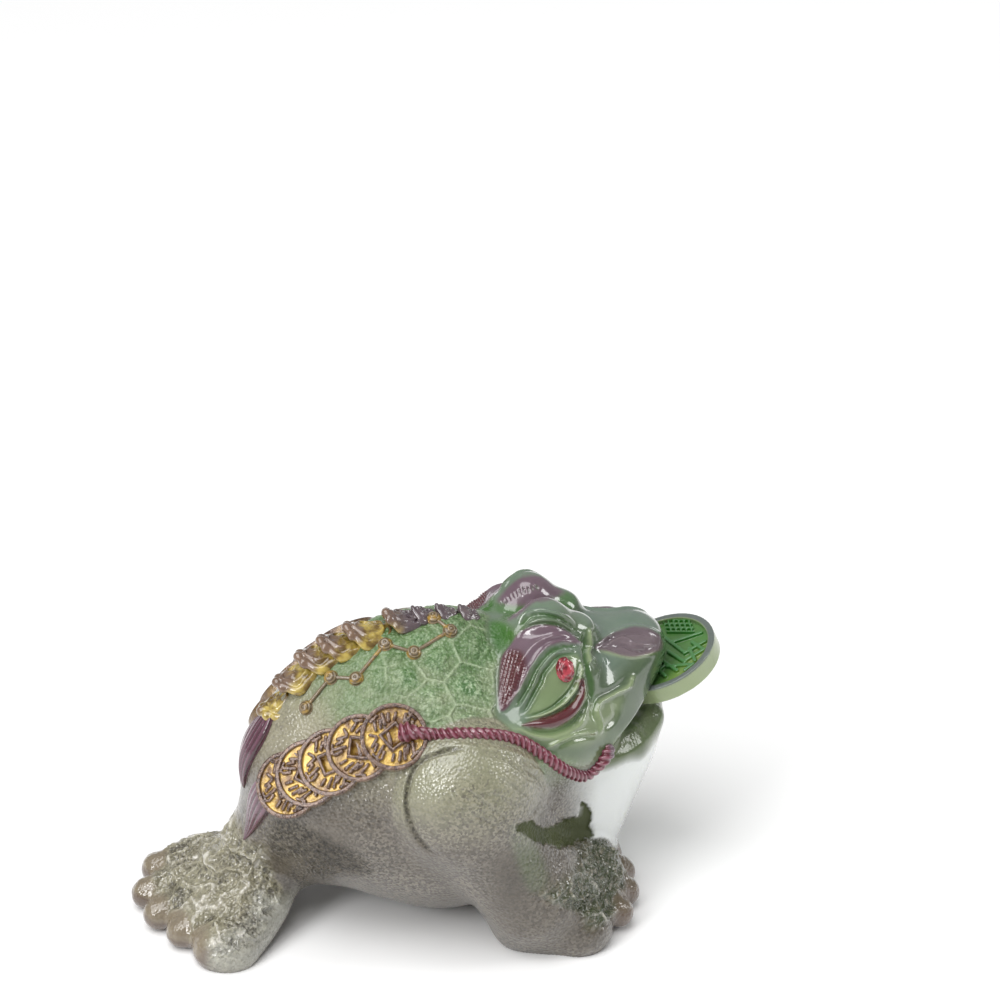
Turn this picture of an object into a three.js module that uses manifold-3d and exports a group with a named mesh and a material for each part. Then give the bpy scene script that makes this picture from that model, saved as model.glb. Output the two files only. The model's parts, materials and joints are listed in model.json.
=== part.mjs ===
import * as THREE from "three";
import Module from "manifold-3d";

// Money toad: one cast figure with a coin held in the mouth, strings of coins over the
// flanks and a row of plates down the spine. Lengths are millimetres, +X is the nose,
// +Y the toad's left and +Z up.

const FIGURE_LENGTH = 105;

const MOUTH_COIN_DIAMETER = 20;
const MOUTH_COIN_THICKNESS = 3.3;
const MOUTH_COIN_RIM = 1.1;
const MOUTH_COIN_RECESS = 0.5;
const MOUTH_COIN_PITCH = 24;

const STRING_COIN_DIAMETER = 11.2;
const STRING_COIN_THICKNESS = 2.4;
const STRING_COIN_RIM = 0.7;
const STRING_COIN_RECESS = 0.35;
const STRING_COIN_HOLE = 2.4;

const CORD_DIAMETER = 2.0;
const STAR_DIAMETER = 2.4;
const STAR_LINE_WIDTH = 0.8;
const PLATE_THICKNESS = 1.9;
const PLATE_ARCH = 0.55;

const GRID_STEP = 1.2;
const BODY_TRIANGLES = 3280;

// The carving keeps its proportions as shares of the figure's length: every position
// below is written for a toad 105 long and multiplied by this share.
const SHARE = FIGURE_LENGTH / 105;

const wasm = await Module();
wasm.setup();

// The form is a field: below zero inside the toad, above zero outside. Its parts meet in
// rounded folds as wide as the given reach.
function blend(a, b, reach) {
  const h = Math.max(reach - Math.abs(a - b), 0) / reach;
  return Math.min(a, b) - h * h * reach * 0.25;
}

function carve(a, b, reach) {
  return -blend(-a, b, reach);
}

function ellipsoid(p, c, r) {
  const dx = (p[0] - c[0]) / r[0];
  const dy = (p[1] - c[1]) / r[1];
  const dz = (p[2] - c[2]) / r[2];
  const k0 = Math.hypot(dx, dy, dz);
  const k1 = Math.hypot(dx / r[0], dy / r[1], dz / r[2]);
  return k1 > 0 ? (k0 * (k0 - 1)) / k1 : -Math.min(...r);
}

function limb(p, a, b) {
  const ab = [b[0] - a[0], b[1] - a[1], b[2] - a[2]];
  const ap = [p[0] - a[0], p[1] - a[1], p[2] - a[2]];
  const along = (ap[0] * ab[0] + ap[1] * ab[1] + ap[2] * ab[2]) /
    (ab[0] * ab[0] + ab[1] * ab[1] + ab[2] * ab[2]);
  const t = Math.min(Math.max(along, 0), 1);
  const d = Math.hypot(ap[0] - t * ab[0], ap[1] - t * ab[1], ap[2] - t * ab[2]);
  return d - (a[3] + t * (b[3] - a[3]));
}

function chain(p, joints, reach) {
  let d = limb(p, joints[0], joints[1]);
  for (let i = 1; i + 1 < joints.length; i += 1) {
    d = blend(d, limb(p, joints[i], joints[i + 1]), reach);
  }
  return d;
}

const CREST = [
  [-25, 0, 30, 4], [-21, 0, 37, 4], [-14, 0, 42.5, 5], [-6, 0, 46, 5], [3, 0, 47.5, 5], [13, 0, 45, 6],
];
const BROW = [
  [14.8, -4.6, 45, 2.2], [17, -4.8, 49.6, 3.2], [20, -4.8, 51.2, 4.1], [25.5, -4.2, 48, 3.5],
  [28.8, -3, 43.6, 2.8],
];
const LID = [
  [10.8, -13.4, 40.4, 2], [13, -11.4, 43.6, 2.2], [16.6, -9, 48, 2.3], [22, -7.4, 48, 2.4],
  [26, -6.4, 44.8, 2],
];
const UNDER_EYE = [
  [12, -17, 39.4, 1.6], [17, -17.2, 37.6, 1.9], [22, -14.6, 39, 1.8], [25.2, -11.6, 42.4, 1.4],
];
const UPPER_LIP = [
  [27, -14.6, 34.4, 1.9], [30, -11.8, 35.2, 1.7], [34, -7.8, 36.7, 1.6], [37.4, -4.4, 38.2, 1.6],
  [40.4, -1, 39.6, 1.6], [41, 0, 39.9, 1.6],
];
const LOWER_LIP = [
  [26.6, -15.2, 31.4, 1.8], [33.4, -11.2, 30.2, 2], [39.2, -5, 29.8, 2.1], [41, 0, 30, 2.2],
];
const MOUTH_DEPTH = 4.5;
const FRONT_TOES = [
  [[20, -21, 7, 4.6], [28.2, -23, 3, 2.7]],
  [[22, -18, 9, 4.6], [31, -17.6, 3, 2.8]],
  [[22, -14, 9, 4.6], [32.2, -11.8, 3, 2.8]],
  [[22, -11, 8, 4.4], [31.6, -6.6, 3, 2.7]],
];
const REAR_TOES = [
  [[-31, -7, 6, 4], [-41, -13, 2.5, 2.8]],
  [[-31, -4, 7.5, 4.4], [-45, -7.4, 2.5, 2.8]],
  [[-31, 0, 8.5, 4.6], [-48, -1.4, 2.6, 2.8]],
  [[-31, 4, 7.5, 4.4], [-49, 5.2, 2.6, 2.8]],
  [[-31, 7, 6, 4], [-46, 11.6, 2.8, 3]],
];

function trunk(p) {
  let d = ellipsoid(p, [2, 0, 22.6], [23, 25.5, 23.4]);
  d = blend(d, ellipsoid(p, [-13.4, 0, 24.4], [18.2, 19.5, 17]), 8);
  d = blend(d, ellipsoid(p, [-2, 0, 34], [20, 20, 15]), 6);
  d = blend(d, chain(p, CREST, 4), 7);
  d = blend(d, limb(p, [18.5, 0, 4, 14.6], [24.6, 0, 28, 17.4]), 8);
  return d;
}

function head(p) {
  let d = ellipsoid(p, [17.6, 0, 36.3], [15, 19.5, 12.3]);
  d = blend(d, ellipsoid(p, [29, 0, 38], [8, 12.6, 8.6]), 4);
  d = blend(d, ellipsoid(p, [33.5, 0, 41], [9.2, 9.8, 6.7]), 3);
  d = blend(d, ellipsoid(p, [38, 0, 42.9], [4.9, 5.6, 4.6]), 2);
  d = blend(d, ellipsoid(p, [19.8, -9.2, 43.2], [7.8, 7.2, 7.8]), 3);
  d = blend(d, chain(p, BROW, 2), 2);
  d = blend(d, chain(p, LID, 2), 1.2);
  d = blend(d, limb(p, [19.6, -10, 44.2, 5.2], [20.4, -10.6, 44.4, 5.2]), 0.8);
  d = blend(d, chain(p, UNDER_EYE, 1.5), 1.2);
  d = blend(d, ellipsoid(p, [14, -13, 34], [13, 9, 8]), 4);
  return d;
}

function mouth(p, d) {
  const underLip = 0.91 * (p[2] - 38.2 - 0.445 * (p[0] - 41));
  const gap = Math.max(30.2 - p[2], underLip, 28.5 - p[0], -d - MOUTH_DEPTH);
  let m = carve(d, gap, 1);
  m = blend(m, chain(p, UPPER_LIP, 1.5), 1.5);
  m = blend(m, chain(p, LOWER_LIP, 1.5), 2);
  return m;
}

function frontLeg(p) {
  let d = ellipsoid(p, [2, -19.5, 29.5], [13, 10.5, 13]);
  d = blend(d, limb(p, [4, -20, 24, 9.5], [13, -22, 9, 8.8]), 3);
  d = blend(d, limb(p, [14, -21, 10, 8.5], [25, -16, 7, 6]), 3);
  d = blend(d, limb(p, [12, -21, 3, 5.5], [20.3, -24.8, 3, 6]), 3);
  for (const [root, tip] of FRONT_TOES) {
    d = blend(d, limb(p, root, tip), 1.6);
  }
  return d;
}

function rearLeg(p) {
  let d = limb(p, [-20.5, 0, 17, 10.2], [-34, 0.5, 7.5, 6.4]);
  d = blend(d, ellipsoid(p, [-36.6, -0.5, 2.4], [9, 13.4, 5]), 3);
  for (const [root, tip] of REAR_TOES) {
    d = blend(d, limb(p, root, tip), 2.4);
  }
  d = blend(d, limb(p, [-28.4, -2.6, 6.4, 3.8], [-37.6, -14, 2, 4.2]), 5);
  d = blend(d, limb(p, [-28.4, 2.6, 6.4, 3.8], [-37.8, 12.8, 2, 4.2]), 5);
  return d;
}

function toadField(x, y, z) {
  const p = [x, y, z];
  const m = [x, -Math.abs(y), z];
  let d = blend(trunk(m), head(m), 4);
  d = mouth(m, d);
  d = blend(d, frontLeg(m), 2.4);
  d = blend(d, rearLeg(p), 6);
  return Math.max(d, -2 - z);
}

// Where two parts of the form only meet across the diagonal of a grid square, the gap is
// filled, so that no edge of the net is shared by more than two faces.
function fillPinches(value, stride, inside) {
  for (let changed = true; changed;) {
    changed = false;
    for (let axis = 0; axis < 3; axis += 1) {
      const u = stride[(axis + 1) % 3];
      const w = stride[(axis + 2) % 3];
      for (let g = 0; g + u + w < value.length; g += 1) {
        const square = [g, g + u, g + w, g + u + w];
        const [a, b, c, d] = square.map((i) => value[i] < 0);
        if (a === d && b === c && a !== b) {
          square.filter((i) => value[i] >= 0).forEach((i) => {
            value[i] = inside;
          });
          changed = true;
        }
      }
    }
  }
}

function netOf(field, low, high, step) {
  const n = low.map((v, i) => Math.ceil((high[i] - v) / step) + 1);
  const at = (i, j, k) => (i * n[1] + j) * n[2] + k;
  const value = new Float64Array(n[0] * n[1] * n[2]);
  for (let i = 0; i < n[0]; i += 1) {
    for (let j = 0; j < n[1]; j += 1) {
      for (let k = 0; k < n[2]; k += 1) {
        value[at(i, j, k)] = field(low[0] + i * step, low[1] + j * step, low[2] + k * step);
      }
    }
  }
  const stride = [n[1] * n[2], n[2], 1];
  fillPinches(value, stride, -0.05 * step);
  const corner = [];
  for (let c = 0; c < 8; c += 1) {
    corner.push([c & 1, (c >> 1) & 1, (c >> 2) & 1]);
  }
  const edges = [];
  for (let c = 0; c < 8; c += 1) {
    for (const bit of [1, 2, 4]) {
      if (!(c & bit)) {
        edges.push([c, c | bit]);
      }
    }
  }
  const vertex = new Map();
  const points = [];
  for (let i = 0; i + 1 < n[0]; i += 1) {
    for (let j = 0; j + 1 < n[1]; j += 1) {
      for (let k = 0; k + 1 < n[2]; k += 1) {
        const v = corner.map(([a, b, c]) => value[at(i + a, j + b, k + c)]);
        const sum = [0, 0, 0];
        let hits = 0;
        for (const [a, b] of edges) {
          if ((v[a] < 0) !== (v[b] < 0)) {
            const t = v[a] / (v[a] - v[b]);
            for (let c = 0; c < 3; c += 1) {
              sum[c] += corner[a][c] + t * (corner[b][c] - corner[a][c]);
            }
            hits += 1;
          }
        }
        if (hits > 0) {
          vertex.set(at(i, j, k), points.length);
          points.push([i, j, k].map((g, c) => low[c] + (g + sum[c] / hits) * step));
        }
      }
    }
  }
  const faces = [];
  for (const cell of vertex.keys()) {
    for (let axis = 0; axis < 3; axis += 1) {
      const end = cell + stride[axis];
      const inside = value[cell] < 0;
      if (inside !== (value[end] < 0)) {
        const u = stride[(axis + 1) % 3];
        const w = stride[(axis + 2) % 3];
        const q = [cell, cell - u, cell - u - w, cell - w].map((g) => vertex.get(g));
        if (!inside) {
          q.reverse();
        }
        faces.push([q[0], q[1], q[2]], [q[0], q[2], q[3]]);
      }
    }
  }
  return { points, faces };
}

function planeOf(a, b, c) {
  const u = [b[0] - a[0], b[1] - a[1], b[2] - a[2]];
  const v = [c[0] - a[0], c[1] - a[1], c[2] - a[2]];
  const n = [u[1] * v[2] - u[2] * v[1], u[2] * v[0] - u[0] * v[2], u[0] * v[1] - u[1] * v[0]];
  const size = Math.hypot(...n);
  const unit = n.map((s) => s / (size || 1));
  return { unit, size, offset: -(unit[0] * a[0] + unit[1] * a[1] + unit[2] * a[2]) };
}

// Thins a closed net by edge collapse, cheapest first by squared distance to the planes
// of the faces met so far, so flat areas keep few faces and folds keep many.
function thin(net, target) {
  const points = net.points.map((p) => [...p]);
  const faces = net.faces.map((f) => [...f]);
  const around = points.map(() => new Set());
  const quadric = points.map(() => new Float64Array(10));
  faces.forEach((f, index) => {
    const { unit: [a, b, c], size, offset: d } = planeOf(...f.map((i) => points[i]));
    const q = [a * a, a * b, a * c, a * d, b * b, b * c, b * d, c * c, c * d, d * d];
    for (const i of f) {
      around[i].add(index);
      q.forEach((value, s) => {
        quadric[i][s] += value * size;
      });
    }
  });
  const cost = (q, [x, y, z]) => q[0] * x * x + 2 * q[1] * x * y + 2 * q[2] * x * z + 2 * q[3] * x +
    q[4] * y * y + 2 * q[5] * y * z + 2 * q[6] * y + q[7] * z * z + 2 * q[8] * z + q[9];
  const best = (a, b) => {
    const q = quadric[a].map((v, s) => v + quadric[b][s]);
    const pa = points[a];
    const pb = points[b];
    const choices = [[pa[0], pa[1], pa[2]], [pb[0], pb[1], pb[2]], pa.map((v, s) => (v + pb[s]) / 2)];
    const m = new THREE.Matrix3().set(q[0], q[1], q[2], q[1], q[4], q[5], q[2], q[5], q[7]);
    if (Math.abs(m.determinant()) > 1e-3) {
      const s = new THREE.Vector3(-q[3], -q[6], -q[8]).applyMatrix3(m.invert());
      const span = Math.hypot(pa[0] - pb[0], pa[1] - pb[1], pa[2] - pb[2]);
      if (Math.hypot(s.x - pa[0], s.y - pa[1], s.z - pa[2]) < 2 * span) {
        choices.push([s.x, s.y, s.z]);
      }
    }
    const costs = choices.map((c) => cost(q, c));
    const pick = costs.indexOf(Math.min(...costs));
    const span = Math.hypot(pa[0] - pb[0], pa[1] - pb[1], pa[2] - pb[2]);
    return { price: costs[pick] + 1e-4 * span * span, place: choices[pick] };
  };
  const stamp = new Uint32Array(points.length);
  const heap = [];
  const push = (entry) => {
    let i = heap.length;
    heap.push(entry);
    while (i > 0 && heap[(i - 1) >> 1].price > heap[i].price) {
      const up = (i - 1) >> 1;
      [heap[up], heap[i]] = [heap[i], heap[up]];
      i = up;
    }
  };
  const pop = () => {
    const top = heap[0];
    const last = heap.pop();
    if (heap.length > 0) {
      heap[0] = last;
      let i = 0;
      for (;;) {
        let next = 2 * i + 1;
        if (next + 1 < heap.length && heap[next + 1].price < heap[next].price) {
          next += 1;
        }
        if (next >= heap.length || heap[i].price <= heap[next].price) {
          break;
        }
        [heap[next], heap[i]] = [heap[i], heap[next]];
        i = next;
      }
    }
    return top;
  };
  const enter = (a, b) => {
    push({ ...best(a, b), a, b, mark: stamp[a] + stamp[b] });
  };
  const neighbours = (a) => {
    const out = new Set();
    for (const f of around[a]) {
      faces[f].forEach((i) => out.add(i));
    }
    out.delete(a);
    return out;
  };
  points.forEach((_, a) => {
    for (const b of neighbours(a)) {
      if (a < b) {
        enter(a, b);
      }
    }
  });
  const keepsFacing = (from, other, place) => {
    for (const f of around[from]) {
      if (faces[f].includes(other)) {
        continue;
      }
      const before = planeOf(...faces[f].map((i) => points[i]));
      const after = planeOf(...faces[f].map((i) => (i === from ? place : points[i])));
      const dot = before.unit[0] * after.unit[0] + before.unit[1] * after.unit[1] +
        before.unit[2] * after.unit[2];
      if (dot < 0.35 || after.size < 0.02) {
        return false;
      }
    }
    return true;
  };
  let count = faces.length;
  while (count > target && heap.length > 0) {
    const { a, b, mark, place } = pop();
    if (!around[a].size || !around[b].size || mark !== stamp[a] + stamp[b]) {
      continue;
    }
    const near = neighbours(a);
    if (!near.has(b)) {
      continue;
    }
    const shared = [...neighbours(b)].filter((i) => near.has(i));
    if (shared.length !== 2 || !keepsFacing(a, b, place) || !keepsFacing(b, a, place)) {
      continue;
    }
    points[a] = place;
    quadric[b].forEach((value, s) => {
      quadric[a][s] += value;
    });
    for (const f of around[b]) {
      if (faces[f].includes(a)) {
        faces[f].forEach((i) => around[i].delete(f));
        faces[f] = null;
        count -= 1;
      } else {
        faces[f] = faces[f].map((i) => (i === b ? a : i));
        around[a].add(f);
      }
    }
    around[b].clear();
    stamp[a] += 1;
    stamp[b] += 1;
    for (const i of neighbours(a)) {
      enter(a, i);
    }
  }
  return { points, faces: faces.filter((f) => f) };
}

function solid(points, faces) {
  const order = new Map();
  const used = [];
  const triVerts = new Uint32Array(faces.length * 3);
  faces.flat().forEach((i, n) => {
    const key = points[i].map((v) => Math.round(v * 1e4)).join();
    if (!order.has(key)) {
      order.set(key, used.length);
      used.push(points[i]);
    }
    triVerts[n] = order.get(key);
  });
  const kept = [];
  for (let n = 0; n < triVerts.length; n += 3) {
    const [a, b, c] = triVerts.subarray(n, n + 3);
    if (a !== b && b !== c && c !== a) {
      kept.push(a, b, c);
    }
  }
  const mesh = new wasm.Mesh({
    numProp: 3,
    vertProperties: new Float32Array(used.flat()),
    triVerts: new Uint32Array(kept),
  });
  return new wasm.Manifold(mesh);
}

function solidOf(geometry, matrix) {
  const flat = geometry.index ? geometry.toNonIndexed() : geometry;
  flat.applyMatrix4(matrix);
  const place = flat.getAttribute("position");
  const points = [];
  const faces = [];
  for (let i = 0; i < place.count; i += 1) {
    points.push([place.getX(i), place.getY(i), place.getZ(i)]);
    if (i % 3 === 2) {
      faces.push([i - 2, i - 1, i]);
    }
  }
  return solid(points, faces);
}

// A spot near the skin moved onto it, with the way the skin faces there.
function seat(spot, reach) {
  const slope = (p) => {
    const step = (axis, side) => toadField(...p.map((v, i) => v + (i === axis ? side * reach : 0)));
    return new THREE.Vector3(...[0, 1, 2].map((axis) => step(axis, 1) - step(axis, -1))).normalize();
  };
  const at = new THREE.Vector3(...spot);
  for (let turn = 0; turn < 6; turn += 1) {
    at.addScaledVector(slope(at.toArray()), -toadField(...at.toArray()));
  }
  return { at: at.multiplyScalar(SHARE), facing: slope(at.clone().divideScalar(SHARE).toArray()) };
}

function towards(at, facing, along = new THREE.Vector3(1, 0, 0)) {
  const z = facing.clone().normalize();
  const y = z.clone().cross(along).normalize();
  const x = y.clone().cross(z);
  return new THREE.Matrix4().makeBasis(x, y, z).setPosition(at);
}

function coin(diameter, thickness, rim, recess, hole, parts) {
  const r = diameter / 2;
  const top = thickness / 2;
  const profile = [
    [0, -top], [r, -top], [r, top], [r - rim, top], [r - rim, top - recess], [0, top - recess],
  ].map(([x, y]) => new THREE.Vector2(x, y));
  const upright = new THREE.Matrix4().makeRotationX(Math.PI / 2);
  let blank = solidOf(new THREE.LatheGeometry(profile, parts), upright);
  if (hole > 0) {
    const depth = 2 * recess;
    const lift = new THREE.Matrix4().makeTranslation(0, 0, top - recess);
    blank = blank.subtract(solidOf(new THREE.BoxGeometry(hole, hole, depth), lift));
  }
  return blank;
}

function sweep(stations, sides, radius, spacing) {
  const curve = new THREE.CatmullRomCurve3(stations);
  const count = Math.max(2, Math.round(curve.getLength() / spacing));
  const { normals, binormals } = curve.computeFrenetFrames(count);
  const rings = [];
  for (let i = 0; i <= count; i += 1) {
    const centre = curve.getPointAt(i / count);
    for (let j = 0; j < sides; j += 1) {
      const turn = (2 * Math.PI * (j + (i % 2) / 2)) / sides;
      rings.push(centre.clone()
        .addScaledVector(normals[i], radius * Math.cos(turn))
        .addScaledVector(binormals[i], radius * Math.sin(turn)).toArray());
    }
  }
  const faces = [];
  for (let i = 0; i < count; i += 1) {
    for (let j = 0; j < sides; j += 1) {
      const a = i * sides + j;
      const b = i * sides + ((j + 1) % sides);
      if (i % 2 === 0) {
        faces.push([a, b, a + sides], [b, b + sides, a + sides]);
      } else {
        faces.push([a, b, b + sides], [a, b + sides, a + sides]);
      }
    }
  }
  for (let j = 2; j < sides; j += 1) {
    faces.push([0, j, j - 1], [count * sides, count * sides + j - 1, count * sides + j]);
  }
  return solid(rings, faces);
}

function pebble(matrix, half, around, down) {
  const squash = new THREE.Matrix4().makeScale(...half);
  return solidOf(new THREE.SphereGeometry(1, around, down), matrix.clone().multiply(squash));
}

function mirrored(part) {
  const { vertProperties, triVerts } = part.getMesh();
  const points = [];
  const faces = [];
  for (let i = 0; i < vertProperties.length; i += 3) {
    points.push([vertProperties[i], -vertProperties[i + 1], vertProperties[i + 2]]);
  }
  for (let i = 0; i < triVerts.length; i += 3) {
    faces.push([triVerts[i], triVerts[i + 2], triVerts[i + 1]]);
  }
  return solid(points, faces);
}

const STRING = [
  [-9.4, -17.2, 41.2], [-15, -16, 39.4], [-19.4, -14.4, 36.4], [-22.8, -12.8, 33.8], [-25.4, -11, 31],
];
const CORD = [
  [-8.6, -17.6, 42.4], [-5.4, -18.5, 41.6], [-2.7, -19.4, 41.9], [0.8, -20.8, 42.3], [4.9, -21.5, 41.8],
  [8.4, -21.3, 40.7], [11, -21.2, 39.4], [13.1, -21.5, 37.9], [15.6, -22, 35.8], [18.2, -21.6, 33.1],
  [20.9, -20.3, 30.6], [23.1, -18.9, 29.2], [25.3, -18.2, 30], [26.8, -17.9, 31.5], [28.3, -17.1, 33.3],
];
const STARS = [
  [-21.7, -5.8, 42.3], [-17.1, -5, 46.9], [-13.3, -7.1, 47.3], [-7.5, -4.2, 51.2], [-3.2, -6.5, 50.3],
  [3.6, -4.4, 52.2], [1.5, -1.6, 53.5],
];
const PLATES = [
  [-25.4, 41.1, 3.9], [-22.1, 46, 4.2], [-17.9, 49.4, 4.3], [-14, 51.1, 4.3], [-9.4, 52.6, 4.4],
  [-3.4, 54, 3.5], [0.4, 54, 2.6], [4.3, 53.7, 2.4], [8.1, 52.9, 2.2],
];

const PUPIL = [20.6, -15, 48];
const UPPER_LID = [
  [9.8, -16.4, 43], [11, -14.4, 45.8], [13.4, -11.8, 48.6], [16.6, -10, 51.4], [19.4, -9.6, 52.6],
  [24.8, -9.8, 49.2],
];
const LOWER_LID = [
  [12.4, -19, 41], [15.4, -19.6, 39.8], [18.6, -19.2, 40.4], [22.4, -17, 42.6], [24.4, -14.8, 45.6],
];

function coins(spots) {
  const blank = coin(STRING_COIN_DIAMETER, STRING_COIN_THICKNESS, STRING_COIN_RIM, STRING_COIN_RECESS,
    STRING_COIN_HOLE, 18);
  let all = null;
  for (const spot of spots) {
    const { at, facing } = seat(spot, 4);
    const lean = facing.add(new THREE.Vector3(0.06, -0.2, 0.2)).normalize();
    at.addScaledVector(lean, STRING_COIN_THICKNESS * 0.1);
    const placed = placedCopy(blank, towards(at, lean));
    all = all ? all.add(placed) : placed;
  }
  return all;
}

function placedCopy(part, matrix) {
  const { vertProperties, triVerts } = part.getMesh();
  const geometry = new THREE.BufferGeometry();
  geometry.setAttribute("position", new THREE.BufferAttribute(new Float32Array(vertProperties), 3));
  geometry.setIndex(new THREE.BufferAttribute(new Uint32Array(triVerts), 1));
  return solidOf(geometry, matrix);
}

function eyes() {
  const ridge = (spots, radius) => {
    const stations = spots.map((spot) => seat(spot, 1).at);
    return sweep(stations, 5, radius * SHARE, 2.8 * SHARE);
  };
  const { at, facing } = seat(PUPIL, 2);
  const pupil = pebble(towards(at, facing), [1.7, 1.7, 1].map((v) => v * SHARE), 10, 6);
  return ridge(UPPER_LID, 1.1).add(ridge(LOWER_LID, 1)).add(pupil);
}

function cord() {
  const stations = CORD.map((spot, i) => {
    const { at, facing } = seat(spot, 1.5);
    const lift = i < 2 ? 1.7 : 0;
    return at.addScaledVector(facing, lift * CORD_DIAMETER / 2);
  });
  return sweep(stations, 6, CORD_DIAMETER / 2, 1.2 * CORD_DIAMETER);
}

function stars() {
  const seats = STARS.map((spot) => seat(spot, 1).at);
  let all = null;
  seats.forEach((at, i) => {
    const half = STAR_DIAMETER / 2;
    const bead = pebble(new THREE.Matrix4().makeTranslation(at), [half, half, half], 8, 5);
    all = all ? all.add(bead) : bead;
    if (i > 0) {
      all = all.add(sweep([seats[i - 1], at], 5, STAR_LINE_WIDTH / 2, 4 * STAR_DIAMETER));
    }
  });
  return all;
}

function plates() {
  let all = null;
  PLATES.forEach(([x, z, half], i) => {
    const before = PLATES[Math.max(i - 1, 0)];
    const after = PLATES[Math.min(i + 1, PLATES.length - 1)];
    const along = new THREE.Vector3(after[0] - before[0], 0, after[1] - before[1]).normalize();
    const up = new THREE.Vector3(-along.z, 0, along.x).addScaledVector(along, 0.4);
    const at = new THREE.Vector3(x * SHARE, 0, z * SHARE);
    const blank = new THREE.SphereGeometry(1, half > 3 ? 10 : 8, half > 3 ? 5 : 4);
    blank.rotateX(Math.PI / 2);
    blank.scale(half * SHARE, half * SHARE, PLATE_THICKNESS / 2);
    const place = blank.getAttribute("position");
    for (let n = 0; n < place.count; n += 1) {
      place.setZ(n, place.getZ(n) - (PLATE_ARCH * place.getY(n) ** 2) / (half * SHARE));
    }
    const plate = solidOf(blank, towards(at, up, along));
    all = all ? all.add(plate) : plate;
  });
  return all;
}

function leaf(from, to, half, facing) {
  const a = new THREE.Vector3(...from).multiplyScalar(SHARE);
  const b = new THREE.Vector3(...to).multiplyScalar(SHARE);
  const along = b.clone().sub(a);
  const size = [along.length() / 2, half[0] * SHARE, half[1] * SHARE];
  const side = new THREE.Vector3(...facing).cross(along);
  return pebble(towards(a.lerp(b, 0.5), along.clone().cross(side), along), size, 10, 8);
}

const net = thin(netOf(toadField, [-54, -36, -3], [48, 36, 62], GRID_STEP), BODY_TRIANGLES);
const points = net.points.map((p) => p.map((v) => v * SHARE));
let toad = solid(points, net.faces);

const pitch = THREE.MathUtils.degToRad(MOUTH_COIN_PITCH);
const coinFacing = new THREE.Vector3(-Math.sin(pitch), 0, Math.cos(pitch));
const coinFace = new THREE.Vector3(42.8, 0, 39.6).multiplyScalar(SHARE);
const mouthCoin = placedCopy(
  coin(MOUTH_COIN_DIAMETER, MOUTH_COIN_THICKNESS, MOUTH_COIN_RIM, MOUTH_COIN_RECESS, 0, 40),
  towards(coinFace.addScaledVector(coinFacing, -MOUTH_COIN_THICKNESS / 2), coinFacing),
);
toad = toad.add(mouthCoin);
const leftString = STRING.map(([x, y, z], i) => [x + 1.3 * i, y - 0.6 * i, z - 0.9 * i]);
const bothSides = cord().add(eyes());
toad = toad.add(bothSides).add(mirrored(bothSides));
toad = toad.add(coins(STRING)).add(mirrored(coins(leftString))).add(stars()).add(plates());
toad = toad.add(leaf([-27, -9, 31.5], [-35, -4.5, 17.4], [3, 1.5], [-0.8, -0.6, 0]));
toad = toad.add(leaf([-26, 9, 30.5], [-31, 8, 16.5], [3, 1.5], [-0.8, 0.6, 0]));
toad = toad.add(leaf([-24.8, -0.5, 39.5], [-33.4, -1, 25.4], [2.6, 1.6], [-0.9, 0, 0.4]));

const ground = new THREE.BoxGeometry(200 * SHARE, 120 * SHARE, 20 * SHARE);
toad = toad.subtract(solidOf(ground, new THREE.Matrix4().makeTranslation(0, 0, -10 * SHARE)));

const out = toad.getMesh();
const geometry = new THREE.BufferGeometry();
geometry.setAttribute("position", new THREE.BufferAttribute(new Float32Array(out.vertProperties), 3));
geometry.setIndex(new THREE.BufferAttribute(new Uint32Array(out.triVerts), 1));
geometry.computeBoundingBox();
const { min, max } = geometry.boundingBox;
geometry.translate(-(min.x + max.x) / 2, -(min.y + max.y) / 2, -min.z);
const resin = new THREE.MeshStandardMaterial({ color: 0x8fa27c, roughness: 0.25, metalness: 0 });
const mesh = new THREE.Mesh(geometry, resin);
mesh.name = "toad";

const group = new THREE.Group();
group.add(mesh);

export default group;
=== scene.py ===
"""A cast money toad: one glossy resin figure with a coin in its mouth, strings of coins
over the flanks, plates down the spine and seven linked beads on the right side.

The shapes are worked out in millimetres in the figure's own frame (+X nose, +Y left, +Z up)
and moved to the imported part's frame at the end.
"""

import json
import math

import bpy
import numpy as np
from mathutils import Matrix, Vector

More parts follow.
